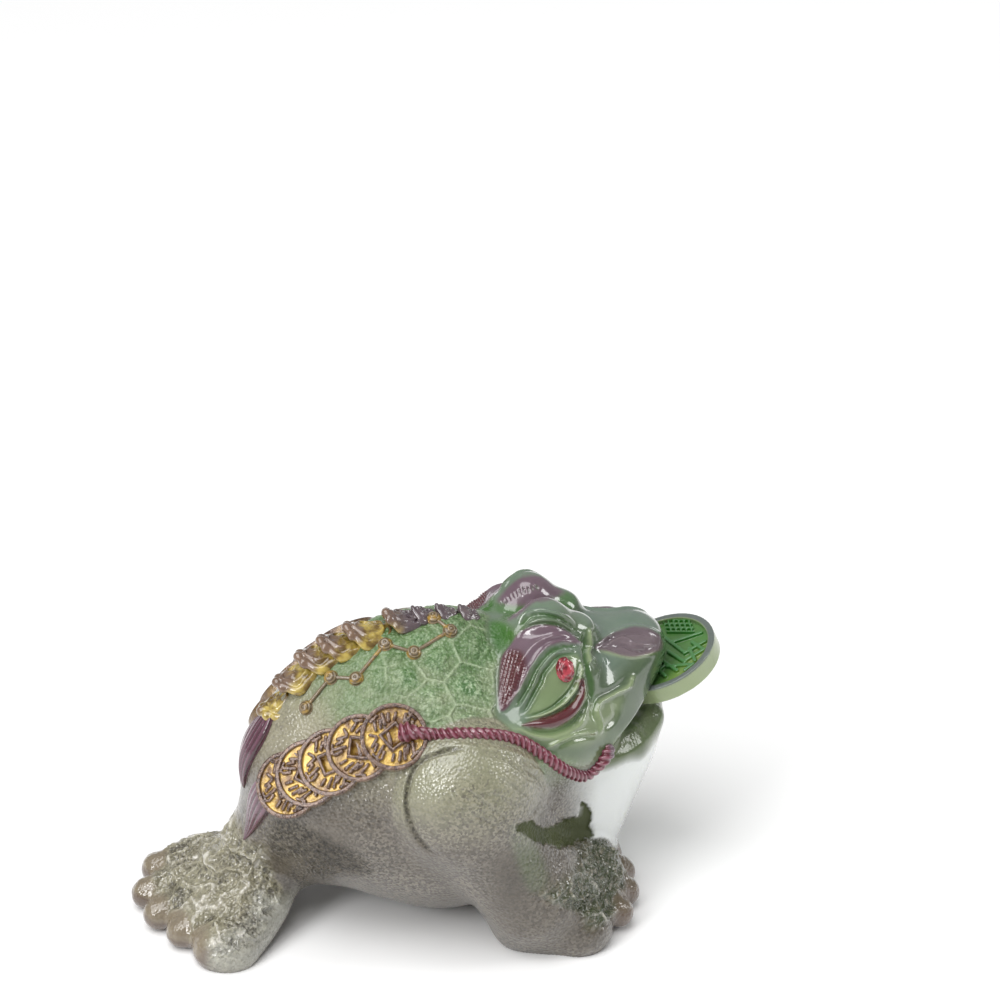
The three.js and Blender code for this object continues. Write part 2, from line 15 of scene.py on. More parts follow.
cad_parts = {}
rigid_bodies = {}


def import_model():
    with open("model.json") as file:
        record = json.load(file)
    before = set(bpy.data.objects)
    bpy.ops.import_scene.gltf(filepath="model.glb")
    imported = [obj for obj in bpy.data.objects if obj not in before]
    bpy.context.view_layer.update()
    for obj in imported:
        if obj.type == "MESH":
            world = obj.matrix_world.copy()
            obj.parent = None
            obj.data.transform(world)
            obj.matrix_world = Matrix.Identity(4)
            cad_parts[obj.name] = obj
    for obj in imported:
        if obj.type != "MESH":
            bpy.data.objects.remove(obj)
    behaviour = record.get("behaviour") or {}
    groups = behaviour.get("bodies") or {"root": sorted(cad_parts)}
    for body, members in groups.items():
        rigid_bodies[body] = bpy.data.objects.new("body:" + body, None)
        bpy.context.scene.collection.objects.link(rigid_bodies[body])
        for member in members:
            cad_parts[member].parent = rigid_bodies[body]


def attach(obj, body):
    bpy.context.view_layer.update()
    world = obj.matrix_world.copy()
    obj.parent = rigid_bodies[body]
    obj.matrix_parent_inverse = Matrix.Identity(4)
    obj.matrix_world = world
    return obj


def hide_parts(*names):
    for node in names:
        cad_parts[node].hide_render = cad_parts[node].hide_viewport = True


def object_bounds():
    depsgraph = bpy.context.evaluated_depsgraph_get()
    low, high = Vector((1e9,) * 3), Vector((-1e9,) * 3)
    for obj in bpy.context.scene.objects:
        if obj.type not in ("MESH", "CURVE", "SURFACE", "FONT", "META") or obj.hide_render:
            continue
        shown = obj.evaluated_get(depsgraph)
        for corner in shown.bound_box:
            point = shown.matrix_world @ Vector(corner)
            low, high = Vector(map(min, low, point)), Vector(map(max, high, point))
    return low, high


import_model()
cad_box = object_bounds()

STEP = 0.26
SHIFT = np.array([-0.7816, 0.0, 0.0])
GROUND = 0.0
TOP = 55.65

# The photograph's camera: focal length in picture units, the place it aims at and where that
# place lands in the picture, its angles round the figure and its distance in millimetres.
FOCAL = 2565.0
TARGET, TARGET_PIXEL = np.array([0, 0, 21.5]), (425.0, 775.0)
AZIMUTH, ELEVATION, REACH = math.radians(-14), math.radians(33), 450

# The form: joints are x, y, z and radius; the toad's right side, mirrored to the left.
CREST = [(-25, 0, 30, 4), (-21, 0, 37, 4), (-14, 0, 42.5, 5), (-6, 0, 46, 5), (3, 0, 47.5, 5),
    (13, 0, 45, 6)]
BROW = [(14.8, -4.6, 45, 2.2), (17, -4.8, 49.6, 3.2), (20, -4.8, 51.2, 4.1), (25.5, -4.2, 48, 3.5),
        (28.8, -3, 43.6, 2.8)]
LID = [(10.8, -13.4, 40.4, 2), (13, -11.4, 43.6, 2.2), (16.6, -9, 48, 2.3), (22, -7.4, 48, 2.4),
       (26, -6.4, 44.8, 2)]
UNDER_EYE = [(12, -17, 39.4, 1.6), (17, -17.2, 37.6, 1.9), (22, -14.6, 39, 1.8), (25.2, -11.6, 42.4, 1.4)]
UPPER_LIP = [(27, -14.6, 34.4, 1.9), (30, -11.8, 35.2, 1.7), (34, -7.8, 36.7, 1.6), (37.4, -4.4, 38.2, 1.6),
             (40.4, -1, 39.6, 1.6), (41, 0, 39.9, 1.6)]
LOWER_LIP = [(26.6, -15.2, 31.4, 1.8), (33.4, -11.2, 30.2, 2), (39.2, -5, 29.8, 2.1), (41, 0, 30, 2.2)]
MOUTH_DEPTH = 4.5
FRONT_TOES = [((20, -21, 7, 4.6), (28.2, -23, 3, 2.7)), ((22, -18, 9, 4.6), (31, -17.6, 3, 2.8)),
              ((22, -14, 9, 4.6), (32.2, -11.8, 3, 2.8)), ((22, -11, 8, 4.4), (31.6, -6.6, 3, 2.7))]
REAR_TOES = [((-31, -7, 6, 4), (-41, -13, 2.5, 2.8)), ((-31, -4, 7.5, 4.4), (-45, -7.4, 2.5, 2.8)),
             ((-31, 0, 8.5, 4.6), (-48, -1.4, 2.6, 2.8)), ((-31, 4, 7.5, 4.4), (-49, 5.2, 2.6, 2.8)),
             ((-31, 7, 6, 4), (-46, 11.6, 2.8, 3))]

# Trim that lies on the form.
STRING = [(-9.4, -17.2, 41.2), (-15, -16, 39.4), (-19.4, -14.4, 36.4), (-22.8, -12.8, 33.8),
    (-25.4, -11, 31)]
CORD = [(-8.6, -17.6, 42.4), (-5.4, -18.5, 41.6), (-2.7, -19.4, 41.9), (0.8, -20.8, 42.3),
    (4.9, -21.5, 41.8), (8.4, -21.3, 40.7), (11, -21.2, 39.4), (13.1, -21.5, 37.9), (15.6, -22, 35.8),
    (18.2, -21.6, 33.1), (20.9, -20.3, 30.6), (23.1, -18.9, 29.2), (25.3, -18.2, 30), (26.8, -17.9, 31.5),
    (28.3, -17.1, 33.3)]
STARS = [(-21.7, -5.8, 42.3), (-17.1, -5, 46.9), (-13.3, -7.1, 47.3), (-7.5, -4.2, 51.2),
         (-3.2, -6.5, 50.3), (3.6, -4.4, 52.2), (1.5, -1.6, 53.5)]
PLATES = [(-25.4, 41.1, 3.9), (-22.1, 46, 4.2), (-17.9, 49.4, 4.3), (-14, 51.1, 4.3), (-9.4, 52.6, 4.4),
          (-3.4, 54, 3.5), (0.4, 54, 2.6), (4.3, 53.7, 2.4), (8.1, 52.9, 2.2)]
STRING_COIN_RADIUS, STRING_COIN_HALF = 5.6, 1.2
MOUTH_COIN_RADIUS, MOUTH_COIN_HALF = 10, 1.65
CORD_RADIUS, CORD_STRANDS = 1.12, 3
STAR_RADIUS, STAR_LINE_RADIUS = 1.28, 0.34
PUPIL_SIZE = (1.6, 2.15, 1.1)
# Radius of the sunk field of each coin, its floor over the coin's middle, and the top of its strokes.
STRING_COIN_WELL, STRING_COIN_FLOOR, STRING_COIN_STROKE_TOP = 4.85, 0.7, 1.12
MOUTH_COIN_WELL, MOUTH_COIN_FLOOR, MOUTH_COIN_BAR_TOP = 8.8, 0.75, 1.3
HOLE_HALF, HOLE_FLOOR, HOLE_BORDER = 1.2, 0.45, 1.6
LATTICE_CORNER, LATTICE_SCALE = (3.6, 8.7), 1.106
# Each left coin hangs this much further forward, out and down for each place along its string.
LEFT_STRING_STEP = (1.3, -0.6, -0.9)
# How far inward the left cord is drawn at its middle, and how much lower at its first stations.
LEFT_CORD_INWARD, LEFT_CORD_DROP = 4, (3.2, 3.2, 2.4, 1.2)
# How many triangles each of the larger pieces is thinned to.
BODY_TRIANGLES, PLATE_TRIANGLES, MOUTH_COIN_TRIANGLES = 196000, 90000, 60000
STRING_TRIANGLES = {"right": 120000, "left": 80000}
# A leaf's root, tip, half width, thickness and sideways bow.
LEAVES = [("tassel_right", (-26.6, -9.4, 32.5), (-35, -5.0, 17.4), 3.0, 1.3, -0.5),
          ("tassel_left", (-25.6, 9.4, 31.5), (-31, 8, 16.5), 3.0, 1.3, 0.5),
          ("rump_leaf", (-24.8, -0.8, 39.5), (-33.4, -1.4, 25.4), 2.7, 1.4, 0.0)]
PUPIL = (20.6, -15, 48)
COIN_FACE = np.array([42.8, 0, 39.6])
COIN_PITCH = math.radians(24)


# The form as distances to its skin, under zero inside.


def blend(a, b, reach):
    h = np.maximum(reach - np.abs(a - b), 0) / reach
    return np.minimum(a, b) - h * h * (reach * 0.25)


def carve(a, b, reach):
    return -blend(-a, b, reach)


def away(*parts):
    """Length of the way that has these parts along the axes."""
    return np.sqrt(sum(v * v for v in parts))


def unit(v):
    return v / np.linalg.norm(v)


def around(sides):
    return np.arange(sides) * 2 * np.pi / sides


def ellipsoid(p, c, r):
    x, y, z = ((p[i] - c[i]) / r[i] for i in range(3))
    k0 = away(x, y, z)
    k1 = away(x / r[0], y / r[1], z / r[2])
    return k0 * (k0 - 1) / np.maximum(k1, 1e-6)


def limb(p, a, b):
    ab = [b[i] - a[i] for i in range(3)]
    ap = [p[i] - a[i] for i in range(3)]
    t = np.clip(sum(ap[i] * ab[i] for i in range(3)) / sum(v * v for v in ab), 0, 1)
    return away(*(ap[i] - t * ab[i] for i in range(3))) - (a[3] + t * (b[3] - a[3]))


def chain(p, joints, reach):
    d = limb(p, joints[0], joints[1])
    for a, b in zip(joints[1:], joints[2:]):
        d = blend(d, limb(p, a, b), reach)
    return d


def trunk(p):
    d = ellipsoid(p, (2, 0, 22.6), (23, 25.5, 23.4))
    d = blend(d, ellipsoid(p, (-13.4, 0, 24.4), (18.2, 19.5, 17)), 8)
    d = blend(d, ellipsoid(p, (-2, 0, 34), (20, 20, 15)), 6)
    d = blend(d, chain(p, CREST, 4), 7)
    return blend(d, limb(p, (18.5, 0, 4, 14.6), (24.6, 0, 28, 17.4)), 8)


def head(p):
    d = ellipsoid(p, (17.6, 0, 36.3), (15, 19.5, 12.3))
    d = blend(d, ellipsoid(p, (29, 0, 38), (8, 12.6, 8.6)), 4)
    d = blend(d, ellipsoid(p, (33.5, 0, 41), (9.2, 9.8, 6.7)), 3)
    d = blend(d, ellipsoid(p, (38, 0, 42.9), (4.9, 5.6, 4.6)), 2)
    d = blend(d, ellipsoid(p, (19.8, -9.2, 43.2), (7.8, 7.2, 7.8)), 3)
    d = blend(d, chain(p, BROW, 2), 2)
    d = blend(d, chain(p, LID, 2), 1.2)
    d = blend(d, limb(p, (19.6, -10, 44.2, 5.2), (20.4, -10.6, 44.4, 5.2)), 0.8)
    d = blend(d, chain(p, UNDER_EYE, 1.5), 1.2)
    return blend(d, ellipsoid(p, (14, -13, 34), (13, 9, 8)), 4)


def mouth(p, d):
    under_lip = 0.91 * (p[2] - 38.2 - 0.445 * (p[0] - 41))
    gap = np.maximum.reduce([30.2 - p[2], under_lip, 28.5 - p[0], -d - MOUTH_DEPTH])
    d = carve(d, gap, 1)
    d = blend(d, chain(p, UPPER_LIP, 1.5), 1.5)
    return blend(d, chain(p, LOWER_LIP, 1.5), 2)


def front_leg(p):
    d = ellipsoid(p, (2, -19.5, 29.5), (13, 10.5, 13))
    d = blend(d, limb(p, (4, -20, 24, 9.5), (13, -22, 9, 8.8)), 3)
    d = blend(d, limb(p, (14, -21, 10, 8.5), (25, -16, 7, 6)), 3)
    d = blend(d, limb(p, (12, -21, 3, 5.5), (20.3, -24.8, 3, 6)), 3)
    for root, tip in FRONT_TOES:
        d = blend(d, limb(p, root, tip), 1.6)
    return d


def rear_leg(p):
    d = limb(p, (-20.5, 0, 17, 10.2), (-34, 0.5, 7.5, 6.4))
    d = blend(d, ellipsoid(p, (-36.6, -0.5, 2.4), (9, 13.4, 5)), 3)
    for root, tip in REAR_TOES:
        d = blend(d, limb(p, root, tip), 2.4)
    d = blend(d, limb(p, (-28.4, -2.6, 6.4, 3.8), (-37.6, -14, 2, 4.2)), 5)
    return blend(d, limb(p, (-28.4, 2.6, 6.4, 3.8), (-37.8, 12.8, 2, 4.2)), 5)


def toad(p):
    m = (p[0], -np.abs(p[1]), p[2])
    d = blend(trunk(m), head(m), 4)
    d = mouth(m, d)
    d = blend(d, front_leg(m), 2.4)
    return blend(d, rear_leg(p), 6)


def slope(field, points, reach):
    """The way the field rises fastest at each point, as unit vectors."""
    out = np.empty_like(points)
    for i in range(3):
        step = np.zeros(3, np.float32)
        step[i] = reach
        out[:, i] = field((points + step).T) - field((points - step).T)
    return out / np.maximum(np.linalg.norm(out, axis=1, keepdims=True), 1e-9)


# Meshes.


def net_of(field, low, high, step, coarse=4):
    """Closed quads round the places where the field changes sign."""
    low, high = np.array(low, float), np.array(high, float)
    blocks = np.ceil((high - low) / (step * coarse)).astype(int)
    size = blocks * coarse
    centre = [low[i] + (np.arange(blocks[i]) + 0.5) * step * coarse for i in range(3)]
    grid = np.stack(np.meshgrid(*centre, indexing="ij"), -1).reshape(-1, 3).astype(np.float32)
    rough = field(grid.T)
    near = np.abs(rough) < 1.7 * step * coarse
    value = np.repeat(np.repeat(np.repeat(rough.reshape(blocks), coarse, 0), coarse, 1), coarse, 2)
    value = value.astype(np.float32)
    cell = np.stack(np.meshgrid(*[np.arange(coarse)] * 3, indexing="ij"), -1).reshape(-1, 3)
    start = np.stack(np.unravel_index(np.nonzero(near)[0], blocks), -1) * coarse
    index = (start[:, None, :] + cell[None]).reshape(-1, 3)
    fine = field((low + index * step).T.astype(np.float32))
    value[index[:, 0], index[:, 1], index[:, 2]] = fine
    inside = value < 0
    vertex = np.full(size - 1, -1, np.int64)
    corners = [(a, b, c) for a in (0, 1) for b in (0, 1) for c in (0, 1)]
    part = [slice(None, -1), slice(1, None)]
    count = sum(inside[part[a], part[b], part[c]].astype(np.int8) for a, b, c in corners)
    mixed = (count > 0) & (count < 8)
    at = np.argwhere(mixed)
    vertex[mixed] = np.arange(len(at))
    total, hits = np.zeros((len(at), 3)), np.zeros((len(at), 1))
    v = {k: value[at[:, 0] + k[0], at[:, 1] + k[1], at[:, 2] + k[2]] for k in corners}
    for k in corners:
        for axis in range(3):
            if k[axis] == 0:
                other = tuple(1 if i == axis else k[i] for i in range(3))
                cross = (v[k] < 0) != (v[other] < 0)
                t = np.where(cross, v[k] / np.where(cross, v[k] - v[other], 1), 0)
                spot = np.array(k)[None] + t[:, None] * (np.array(other) - k)[None]
                total += np.where(cross[:, None], spot, 0)
                hits += cross[:, None]
    points = low + (at + total / hits) * step
    faces = []
    for axis in range(3):
        u, w = (axis + 1) % 3, (axis + 2) % 3
        first = [slice(None)] * 3
        second = [slice(None)] * 3
        first[axis], second[axis] = slice(None, -1), slice(1, None)
        a, b = inside[tuple(first)], inside[tuple(second)]
        edge = np.argwhere(a != b)
        keep = (edge[:, u] > 0) & (edge[:, w] > 0) & (edge[:, u] < size[u] - 1) & (edge[:, w] < size[w] - 1)
        edge = edge[keep]
        goes_out = a[edge[:, 0], edge[:, 1], edge[:, 2]]
        quad = []
        for du, dw in ((0, 0), (-1, 0), (-1, -1), (0, -1)):
            spot = edge.copy()
            spot[:, u] += du
            spot[:, w] += dw
            quad.append(vertex[spot[:, 0], spot[:, 1], spot[:, 2]])
        quad = np.stack(quad, 1)
        quad[~goes_out] = quad[~goes_out][:, ::-1]
        faces.append(quad)
    return points.astype(np.float32), np.concatenate(faces)


def put(name, data):
    """An object in the scene that shows this data."""
    made = bpy.data.objects.new(name, data)
    bpy.context.collection.objects.link(made)
    return made


def make_object(name, points, faces, material):
    """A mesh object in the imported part's frame from points in millimetres."""
    mesh = bpy.data.meshes.new(name)
    world = (points + SHIFT) * 0.001
    mesh.vertices.add(len(points))
    mesh.vertices.foreach_set("co", world.astype(np.float32).ravel())
    faces = np.asarray(faces)
    count, sides = faces.shape
    mesh.loops.add(count * sides)
    mesh.loops.foreach_set("vertex_index", faces.astype(np.int32).ravel())
    mesh.polygons.add(count)
    mesh.polygons.foreach_set("loop_start", np.arange(0, count * sides, sides, dtype=np.int32))
    mesh.update()
    mesh.validate()
    mesh.polygons.foreach_set("use_smooth", np.full(len(mesh.polygons), True))
    mesh.materials.append(material)
    piece = put(name, mesh)
    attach(piece, "root")
    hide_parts("toad")
    return piece


def thin(piece, triangles):
    """Thins a piece's mesh to about this many triangles, keeping the folds."""
    mesh = piece.data
    have = 2 * len(mesh.polygons)
    if have <= triangles:
        return
    modifier = piece.modifiers.new("thin", "DECIMATE")
    modifier.ratio = triangles / have
    modifier.use_collapse_triangulate = True
    graph = bpy.context.evaluated_depsgraph_get()
    made = bpy.data.meshes.new_from_object(piece.evaluated_get(graph))
    piece.modifiers.clear()
    made.name = mesh.name
    piece.data = made
    bpy.data.meshes.remove(mesh)


def tube_faces(count, sides):
    """Triangles of a tube of rings, closed by a point before the first ring and one after the last."""
    faces = []
    for k in range(count - 1):
        for j in range(sides):
            a, b = k * sides + j, k * sides + (j + 1) % sides
            faces += [(a, b, b + sides), (a, b + sides, a + sides)]
    for j in range(sides):
        faces.append(((j + 1) % sides, j, count * sides))
        faces.append(((count - 1) * sides + j, (count - 1) * sides + (j + 1) % sides, count * sides + 1))
    return np.array(faces)


def ball_faces(rings, sides):
    """Triangles of a ball of rings, its first and last ring filled in."""
    faces = []
    for k in range(rings - 1):
        for j in range(sides):
            a, b = k * sides + j, k * sides + (j + 1) % sides
            faces += [(a, a + sides, b + sides), (a, b + sides, b)]
    end = (rings - 1) * sides
    for j in range(1, sides - 1):
        faces += [(0, j, j + 1), (end, end + j + 1, end + j)]
    return np.array(faces)


def outward(points, faces):
    """The faces turned so that the closed mesh they bound has its inside behind them."""
    a, b, c = (points[faces[:, k]] for k in range(3))
    return faces if np.einsum("ij,ij->", a, np.cross(b, c)) > 0 else faces[:, ::-1]


def places(piece):
    """A piece's vertices in millimetres in the figure's frame."""
    out = np.empty(len(piece.data.vertices) * 3, np.float32)
    piece.data.vertices.foreach_get("co", out)
    return out.reshape(-1, 3) * 1000 - SHIFT


def paint(piece, name, values):
    layer = piece.data.attributes.new(name, "FLOAT", "POINT")
    layer.data.foreach_set("value", np.clip(values, 0, 1).astype(np.float32))


# Patterns on the skin.


def smooth(x, low, high):
    t = np.clip((x - low) / (high - low), 0, 1)
    return t * t * (3 - 2 * t)


def scatter(i, seed):
    """Whole-number grid positions to even random values from 0 to 1."""
    n = (i[0] * 374761393 + i[1] * 668265263 + i[2] * 1442695041 + seed * 1274126177) & 0xFFFFFFFF
    n = ((n ^ (n >> 13)) * 1274126177) & 0xFFFFFFFF
    n = ((n ^ (n >> 16)) * 2246822519) & 0xFFFFFFFF
    return ((n ^ (n >> 13)) & 0xFFFFFF) / 16777215.0


def noise(p, size, seed=0):
    """Smooth random bumps of about this size, from -1 to 1."""
    q = p / size
    i = np.floor(q).astype(np.int64)
    f = q - i
    f = f * f * f * (f * (f * 6 - 15) + 10)
    out = 0
    for a in (0, 1):
        for b in (0, 1):
            for c in (0, 1):
                x, y, z = (f[:, k] if up else 1 - f[:, k] for k, up in enumerate((a, b, c)))
                w = x * y * z
                out = out + w * scatter((i[:, 0] + a, i[:, 1] + b, i[:, 2] + c), seed)
    return 2 * out - 1


def sway(p, size, *seeds):
    """Random shifts of each point, one for each seed."""
    return np.stack([noise(p, size, seed) for seed in seeds], 1)


def along(p, spots):
    """Distance to a line of straight stretches, and how far along it the nearest place is (0 to 1)."""
    spots = np.array(spots, np.float32)
    lengths = np.linalg.norm(np.diff(spots, axis=0), axis=1)
    start = np.concatenate([[0], np.cumsum(lengths)])
    best = np.full(len(p), 1e9, np.float32)
    where = np.zeros(len(p), np.float32)
    for k in range(len(spots) - 1):
        ab = spots[k + 1] - spots[k]
        t = np.clip(((p - spots[k]) @ ab) / (ab @ ab), 0, 1)
        d = np.linalg.norm(p - spots[k] - t[:, None] * ab, axis=1)
        closer = d < best
        best = np.where(closer, d, best)
        where = np.where(closer, (start[k] + t * lengths[k]) / start[-1], where)
    return best, where


def curve(spots, count, closed=False):
    """A smooth line through the spots."""
    p = np.array(spots, float)
    p = np.vstack([p[-1], p, p[0], p[1]]) if closed else np.vstack([2 * p[0] - p[1], p, 2 * p[-1] - p[-2]])
    out = []
    for k in range(count):
        s = k / (count - 1) * (len(p) - 3)
        i = min(int(s), len(p) - 4)
        t = s - i
        a, b, c, d = p[i:i + 4]
        bend, twist = 2 * a - 5 * b + 4 * c - d, 3 * b - a - 3 * c + d
        out.append(0.5 * (2 * b + (c - a) * t + bend * t * t + twist * t ** 3))
    return np.array(out)


# Carving, drawn in the picture of the photograph's camera.


def aim():
    """The photograph's camera in the figure's frame: its place and its right, up and forward ways."""
    a, e = AZIMUTH, ELEVATION
    back = np.array([math.sin(a) * math.cos(e), -math.cos(a) * math.cos(e), math.sin(e)])
    eye = TARGET + REACH * back
    yaw, pitch = math.atan2(-back[1], -back[0]), math.asin(-back[2])
    for _ in range(50):
        level = math.cos(pitch)
        forward = np.array([level * math.cos(yaw), level * math.sin(yaw), math.sin(pitch)])
        right = unit(np.cross(forward, (0, 0, 1)))
        up = np.cross(right, forward)
        q = TARGET - eye
        u = FOCAL * (q @ right) / (q @ forward) + 500
        v = 500 - FOCAL * (q @ up) / (q @ forward)
        yaw -= (u - TARGET_PIXEL[0]) / FOCAL
        pitch += (TARGET_PIXEL[1] - v) / FOCAL
    return eye, right, up, forward


EYE, RIGHT, UP, FORWARD = aim()


def on_picture(p):
    """Where places on the figure land in the picture, 1000 units wide and 5.7 units to a millimetre."""
    q = p - EYE
    deep = q @ FORWARD
    return np.stack([FOCAL * (q @ RIGHT) / deep + 500, 500 - FOCAL * (q @ UP) / deep], 1)


def close_to(q, line, margin):
    """Which places lie in the line's box, grown by the margin."""
    return np.nonzero(np.all((q > line.min(0) - margin) & (q < line.max(0) + margin), 1))[0]


def region(q, outline, soft):
    """Share from 0 to 1 of lying inside a smooth closed outline; soft is half the width of its edge."""
    out = np.zeros(len(q), np.float32)
    line = curve(outline, 5 * len(outline), closed=True)
    near = close_to(q, line, 2 * soft)
    x, y = q[near].T
    odd = np.zeros(len(near), bool)
    for (ax, ay), (bx, by) in zip(line, line[1:]):
        crosses = (ay > y) != (by > y)
        odd ^= crosses & (x < ax + (y - ay) * (bx - ax) / (by - ay if by != ay else 1e-9))
    d, _ = along(q[near], line)
    out[near] = smooth(np.where(odd, d, -d), -soft, soft)
    return out


def ridge(q, spots, width, height, fade):
    """A raised line (or a groove where height is under zero) that fades at both ends."""
    out = np.zeros(len(q), np.float32)
    line = curve(spots, 4 * len(spots))
    near = close_to(q, line, 3 * width)
    d, t = along(q[near], line)
    out[near] = height * smooth(t, 0, fade) * smooth(1 - t, 0, fade) * np.exp(-(d / width) ** 2)
    return out


# Carved lines, drawn where they show in the picture: a line, its half width there, its height in
# millimetres, and the share of its length over which it fades at each end. Heights under zero
# are grooves. The left side mirrors the right.
FOLDS = {
    "brow_shine": ([(513, 626), (520, 618), (530, 612.4), (542, 610.4), (554, 612.4), (564, 616.6),
        (573, 624), (579, 632)], 1.8, 0.45, 0.2),
    "brow_groove": ([(517, 631), (522.4, 623.6), (530, 617), (540, 614.4), (551, 615.2), (561, 618.8),
        (571, 625.6), (579.6, 635.6)], 2, -0.55, 0.15),
    "brow_inner": ([(520, 634.4), (527, 626), (536, 621), (548, 620), (558, 621.6), (568, 626.6),
        (577, 634.4), (581.2, 640)], 2, 0.45, 0.15),
    "patch_groove": ([(517, 639), (523.6, 630), (534, 625), (549, 623.6), (560, 626), (571.6, 633),
        (580.6, 641.6)], 1.4, -0.4, 0.12),
    "patch_crest": ([(579, 642), (568, 637.6), (556, 636.4), (546, 639.6), (537, 645), (530, 651),
        (524, 660), (518, 672), (511, 688), (505, 704)], 3.4, 0.5, 0.2),
    "patch_lip": ([(580.4, 644.4), (570, 642.8), (558, 643.6), (549, 648), (541, 655), (533.6, 665),
        (526.6, 678), (521, 689), (513, 700), (505, 709)], 1.6, 0.45, 0.15),
    "lid_cut": ([(579.6, 647.2), (570, 646.4), (559, 648), (550, 652.8), (542, 661), (535, 672),
        (529, 684), (523, 696), (515, 709)], 1.6, -0.6, 0.12),
    "lid_line": ([(579.6, 650), (570, 649.2), (560, 651.2), (551.6, 656.4), (544, 665), (537.6, 676),
        (531.6, 689), (525, 701), (518, 712)], 1.6, 0.45, 0.12),
    "lid_cut_low": ([(579, 653.6), (570, 652.8), (561.6, 654.8), (554, 660), (547, 669), (541, 680),
        (535, 692), (528.4, 703), (521, 714)], 1.4, -0.4, 0.12),
    "lid_line_low": ([(578.6, 657), (570, 656.2), (563, 658.4), (556, 664), (549.6, 673), (544, 683),
        (538, 694), (531, 705), (522.4, 715.6)], 1.4, 0.25, 0.12),
    "low_cut": ([(579, 658), (578.6, 669), (576, 680), (569, 691), (560, 701), (549, 708.4), (536, 713.6),
        (525, 717)], 1.6, -0.45, 0.12),
    "low_line": ([(581.2, 660), (581.2, 672), (578.6, 682.4), (571.6, 694), (562, 704.4), (550, 712),
        (537, 716.6), (524, 719)], 1.6, 0.5, 0.12),
    "low_cut_under": ([(583, 664), (583.2, 674), (580.4, 686), (573.6, 698), (564, 708), (551, 715),
        (537, 719), (522.4, 721.6)], 1.4, -0.5, 0.12),
    "crescent_ridge": ([(583.6, 680), (582.4, 692), (578, 703), (570, 713), (560, 719.6), (548, 723),
        (536, 724.4), (525, 724.8)], 4, 0.6, 0.2),
    "under_groove": ([(587, 688), (586.6, 700), (582, 712), (573, 723), (560, 730), (546, 733),
        (532, 731), (521, 727)], 2, -0.5, 0.2),
    "under_fold": ([(588, 704), (585, 716), (577, 727), (563, 734.4), (547, 737.6), (532, 735),
        (520, 730), (506, 726)], 2.4, 0.35, 0.2),
    "jaw_fold": ([(599, 734), (589, 732.4), (576, 734.4), (563, 739), (553, 744),
        (546, 749)], 2, 0.55, 0.15),
    "jaw_groove": ([(600, 739), (589, 737), (577, 739), (565, 743.6), (556, 749)], 1.8, -0.3, 0.2),
    "bridge_ridge": ([(589.2, 626), (590.4, 636), (590, 644), (588, 652), (590, 660),
        (586, 664)], 1.8, 0.5, 0.15),
    "bridge_groove": ([(585, 630), (585.6, 640), (585, 650), (586, 658), (588, 668), (589.6, 680),
        (591, 692), (592, 704)], 2.4, -0.7, 0.15),
    "bridge_front": ([(595, 628), (593, 638), (593.6, 646), (595, 654)], 1.6, -0.4, 0.3),
    "cheek_fold": ([(635.6, 672), (632.4, 678), (630, 685), (623, 690), (614, 694.4), (606, 698),
        (599, 703), (597.6, 712), (600, 720), (600.4, 730), (598, 736)], 1.8, 0.5, 0.1),
    "cheek_hollow": ([(628, 672), (624, 681), (616, 688), (606, 692.4), (598, 697), (594, 704),
        (593.6, 716), (595, 728)], 2.8, -0.35, 0.2),
    "cheek_dent": ([(610, 700), (616, 712), (613, 720), (606, 726), (603, 732)], 2.4, -0.3, 0.3),
    "nose_crease": ([(594, 680), (597, 672), (600, 664), (602, 657), (606, 660),
        (608, 666)], 1.8, 0.3, 0.25),
    "nostril_top": ([(595.6, 647.4), (601, 641), (610, 634.4), (622, 629), (636, 626.4), (650, 629),
        (659, 635), (661.6, 642)], 2, 0.45, 0.15),
    "nostril_low": ([(595.6, 648.6), (608, 652), (622, 655.6), (636, 656.8), (648, 654),
        (660.4, 649)], 1.8, 0.4, 0.15),
    "nostril_wave": ([(598, 648), (610, 643), (619, 639), (628, 640), (636, 644), (646, 645),
        (658, 645)], 1.6, 0.35, 0.15),
    "nostril_slit": ([(610, 648), (622, 646), (630, 649), (640, 651), (650, 650)], 1.6, -0.45, 0.2),
    "nostril_cut": ([(602, 645), (614, 637), (626, 633.6), (640, 633), (652, 637)], 1.6, -0.4, 0.2),
    "shoulder_edge": ([(470, 749), (452, 749.5), (436, 753.5), (420, 762), (410, 776), (405.5, 795),
        (407, 815), (413, 832), (424, 846), (440, 856)], 2.2, -0.8, 0.15),
    "shoulder_top": ([(560, 782), (540, 765), (515, 754), (490, 749), (462, 746),
        (440, 750)], 2.6, 0.3, 0.3),
    "wrinkle_1": ([(480, 753.3), (500, 757.3), (517.8, 767.8), (532.2, 783.3)], 1.3, -0.3, 0.3),
    "wrinkle_2": ([(493.3, 773.3), (511.1, 784.4), (524.4, 794.4), (535.6, 806.7)], 1.3, -0.3, 0.3),
    "wrinkle_3": ([(484.4, 793.3), (504.4, 798.2), (520, 805.6), (530, 814.4)], 1.2, -0.22, 0.3),
    "wrinkle_4": ([(521.1, 766.7), (536.7, 776.7), (544, 787.8), (542.2, 802.2), (530, 817.8),
        (518.9, 823.3)], 1.3, -0.35, 0.2),
    "wrinkle_5": ([(524.4, 762.2), (542.2, 773.3), (550, 787.8), (546.7, 804.4),
        (534.4, 821.1)], 1.5, 0.3, 0.25),
    "wrinkle_6": ([(530, 755.6), (548.9, 768.9), (556.7, 786.7), (553.3, 806.7),
        (540, 822.2)], 1.5, -0.3, 0.25),
    "wrinkle_7": ([(453.3, 784.4), (475.6, 795.6), (497.8, 813.3), (513.3, 825.6)], 1.3, -0.25, 0.3),
    "wrinkle_8": ([(466.7, 813.3), (484.4, 820), (500, 828.9), (511.1, 835.6)], 1.2, -0.18, 0.3),
}

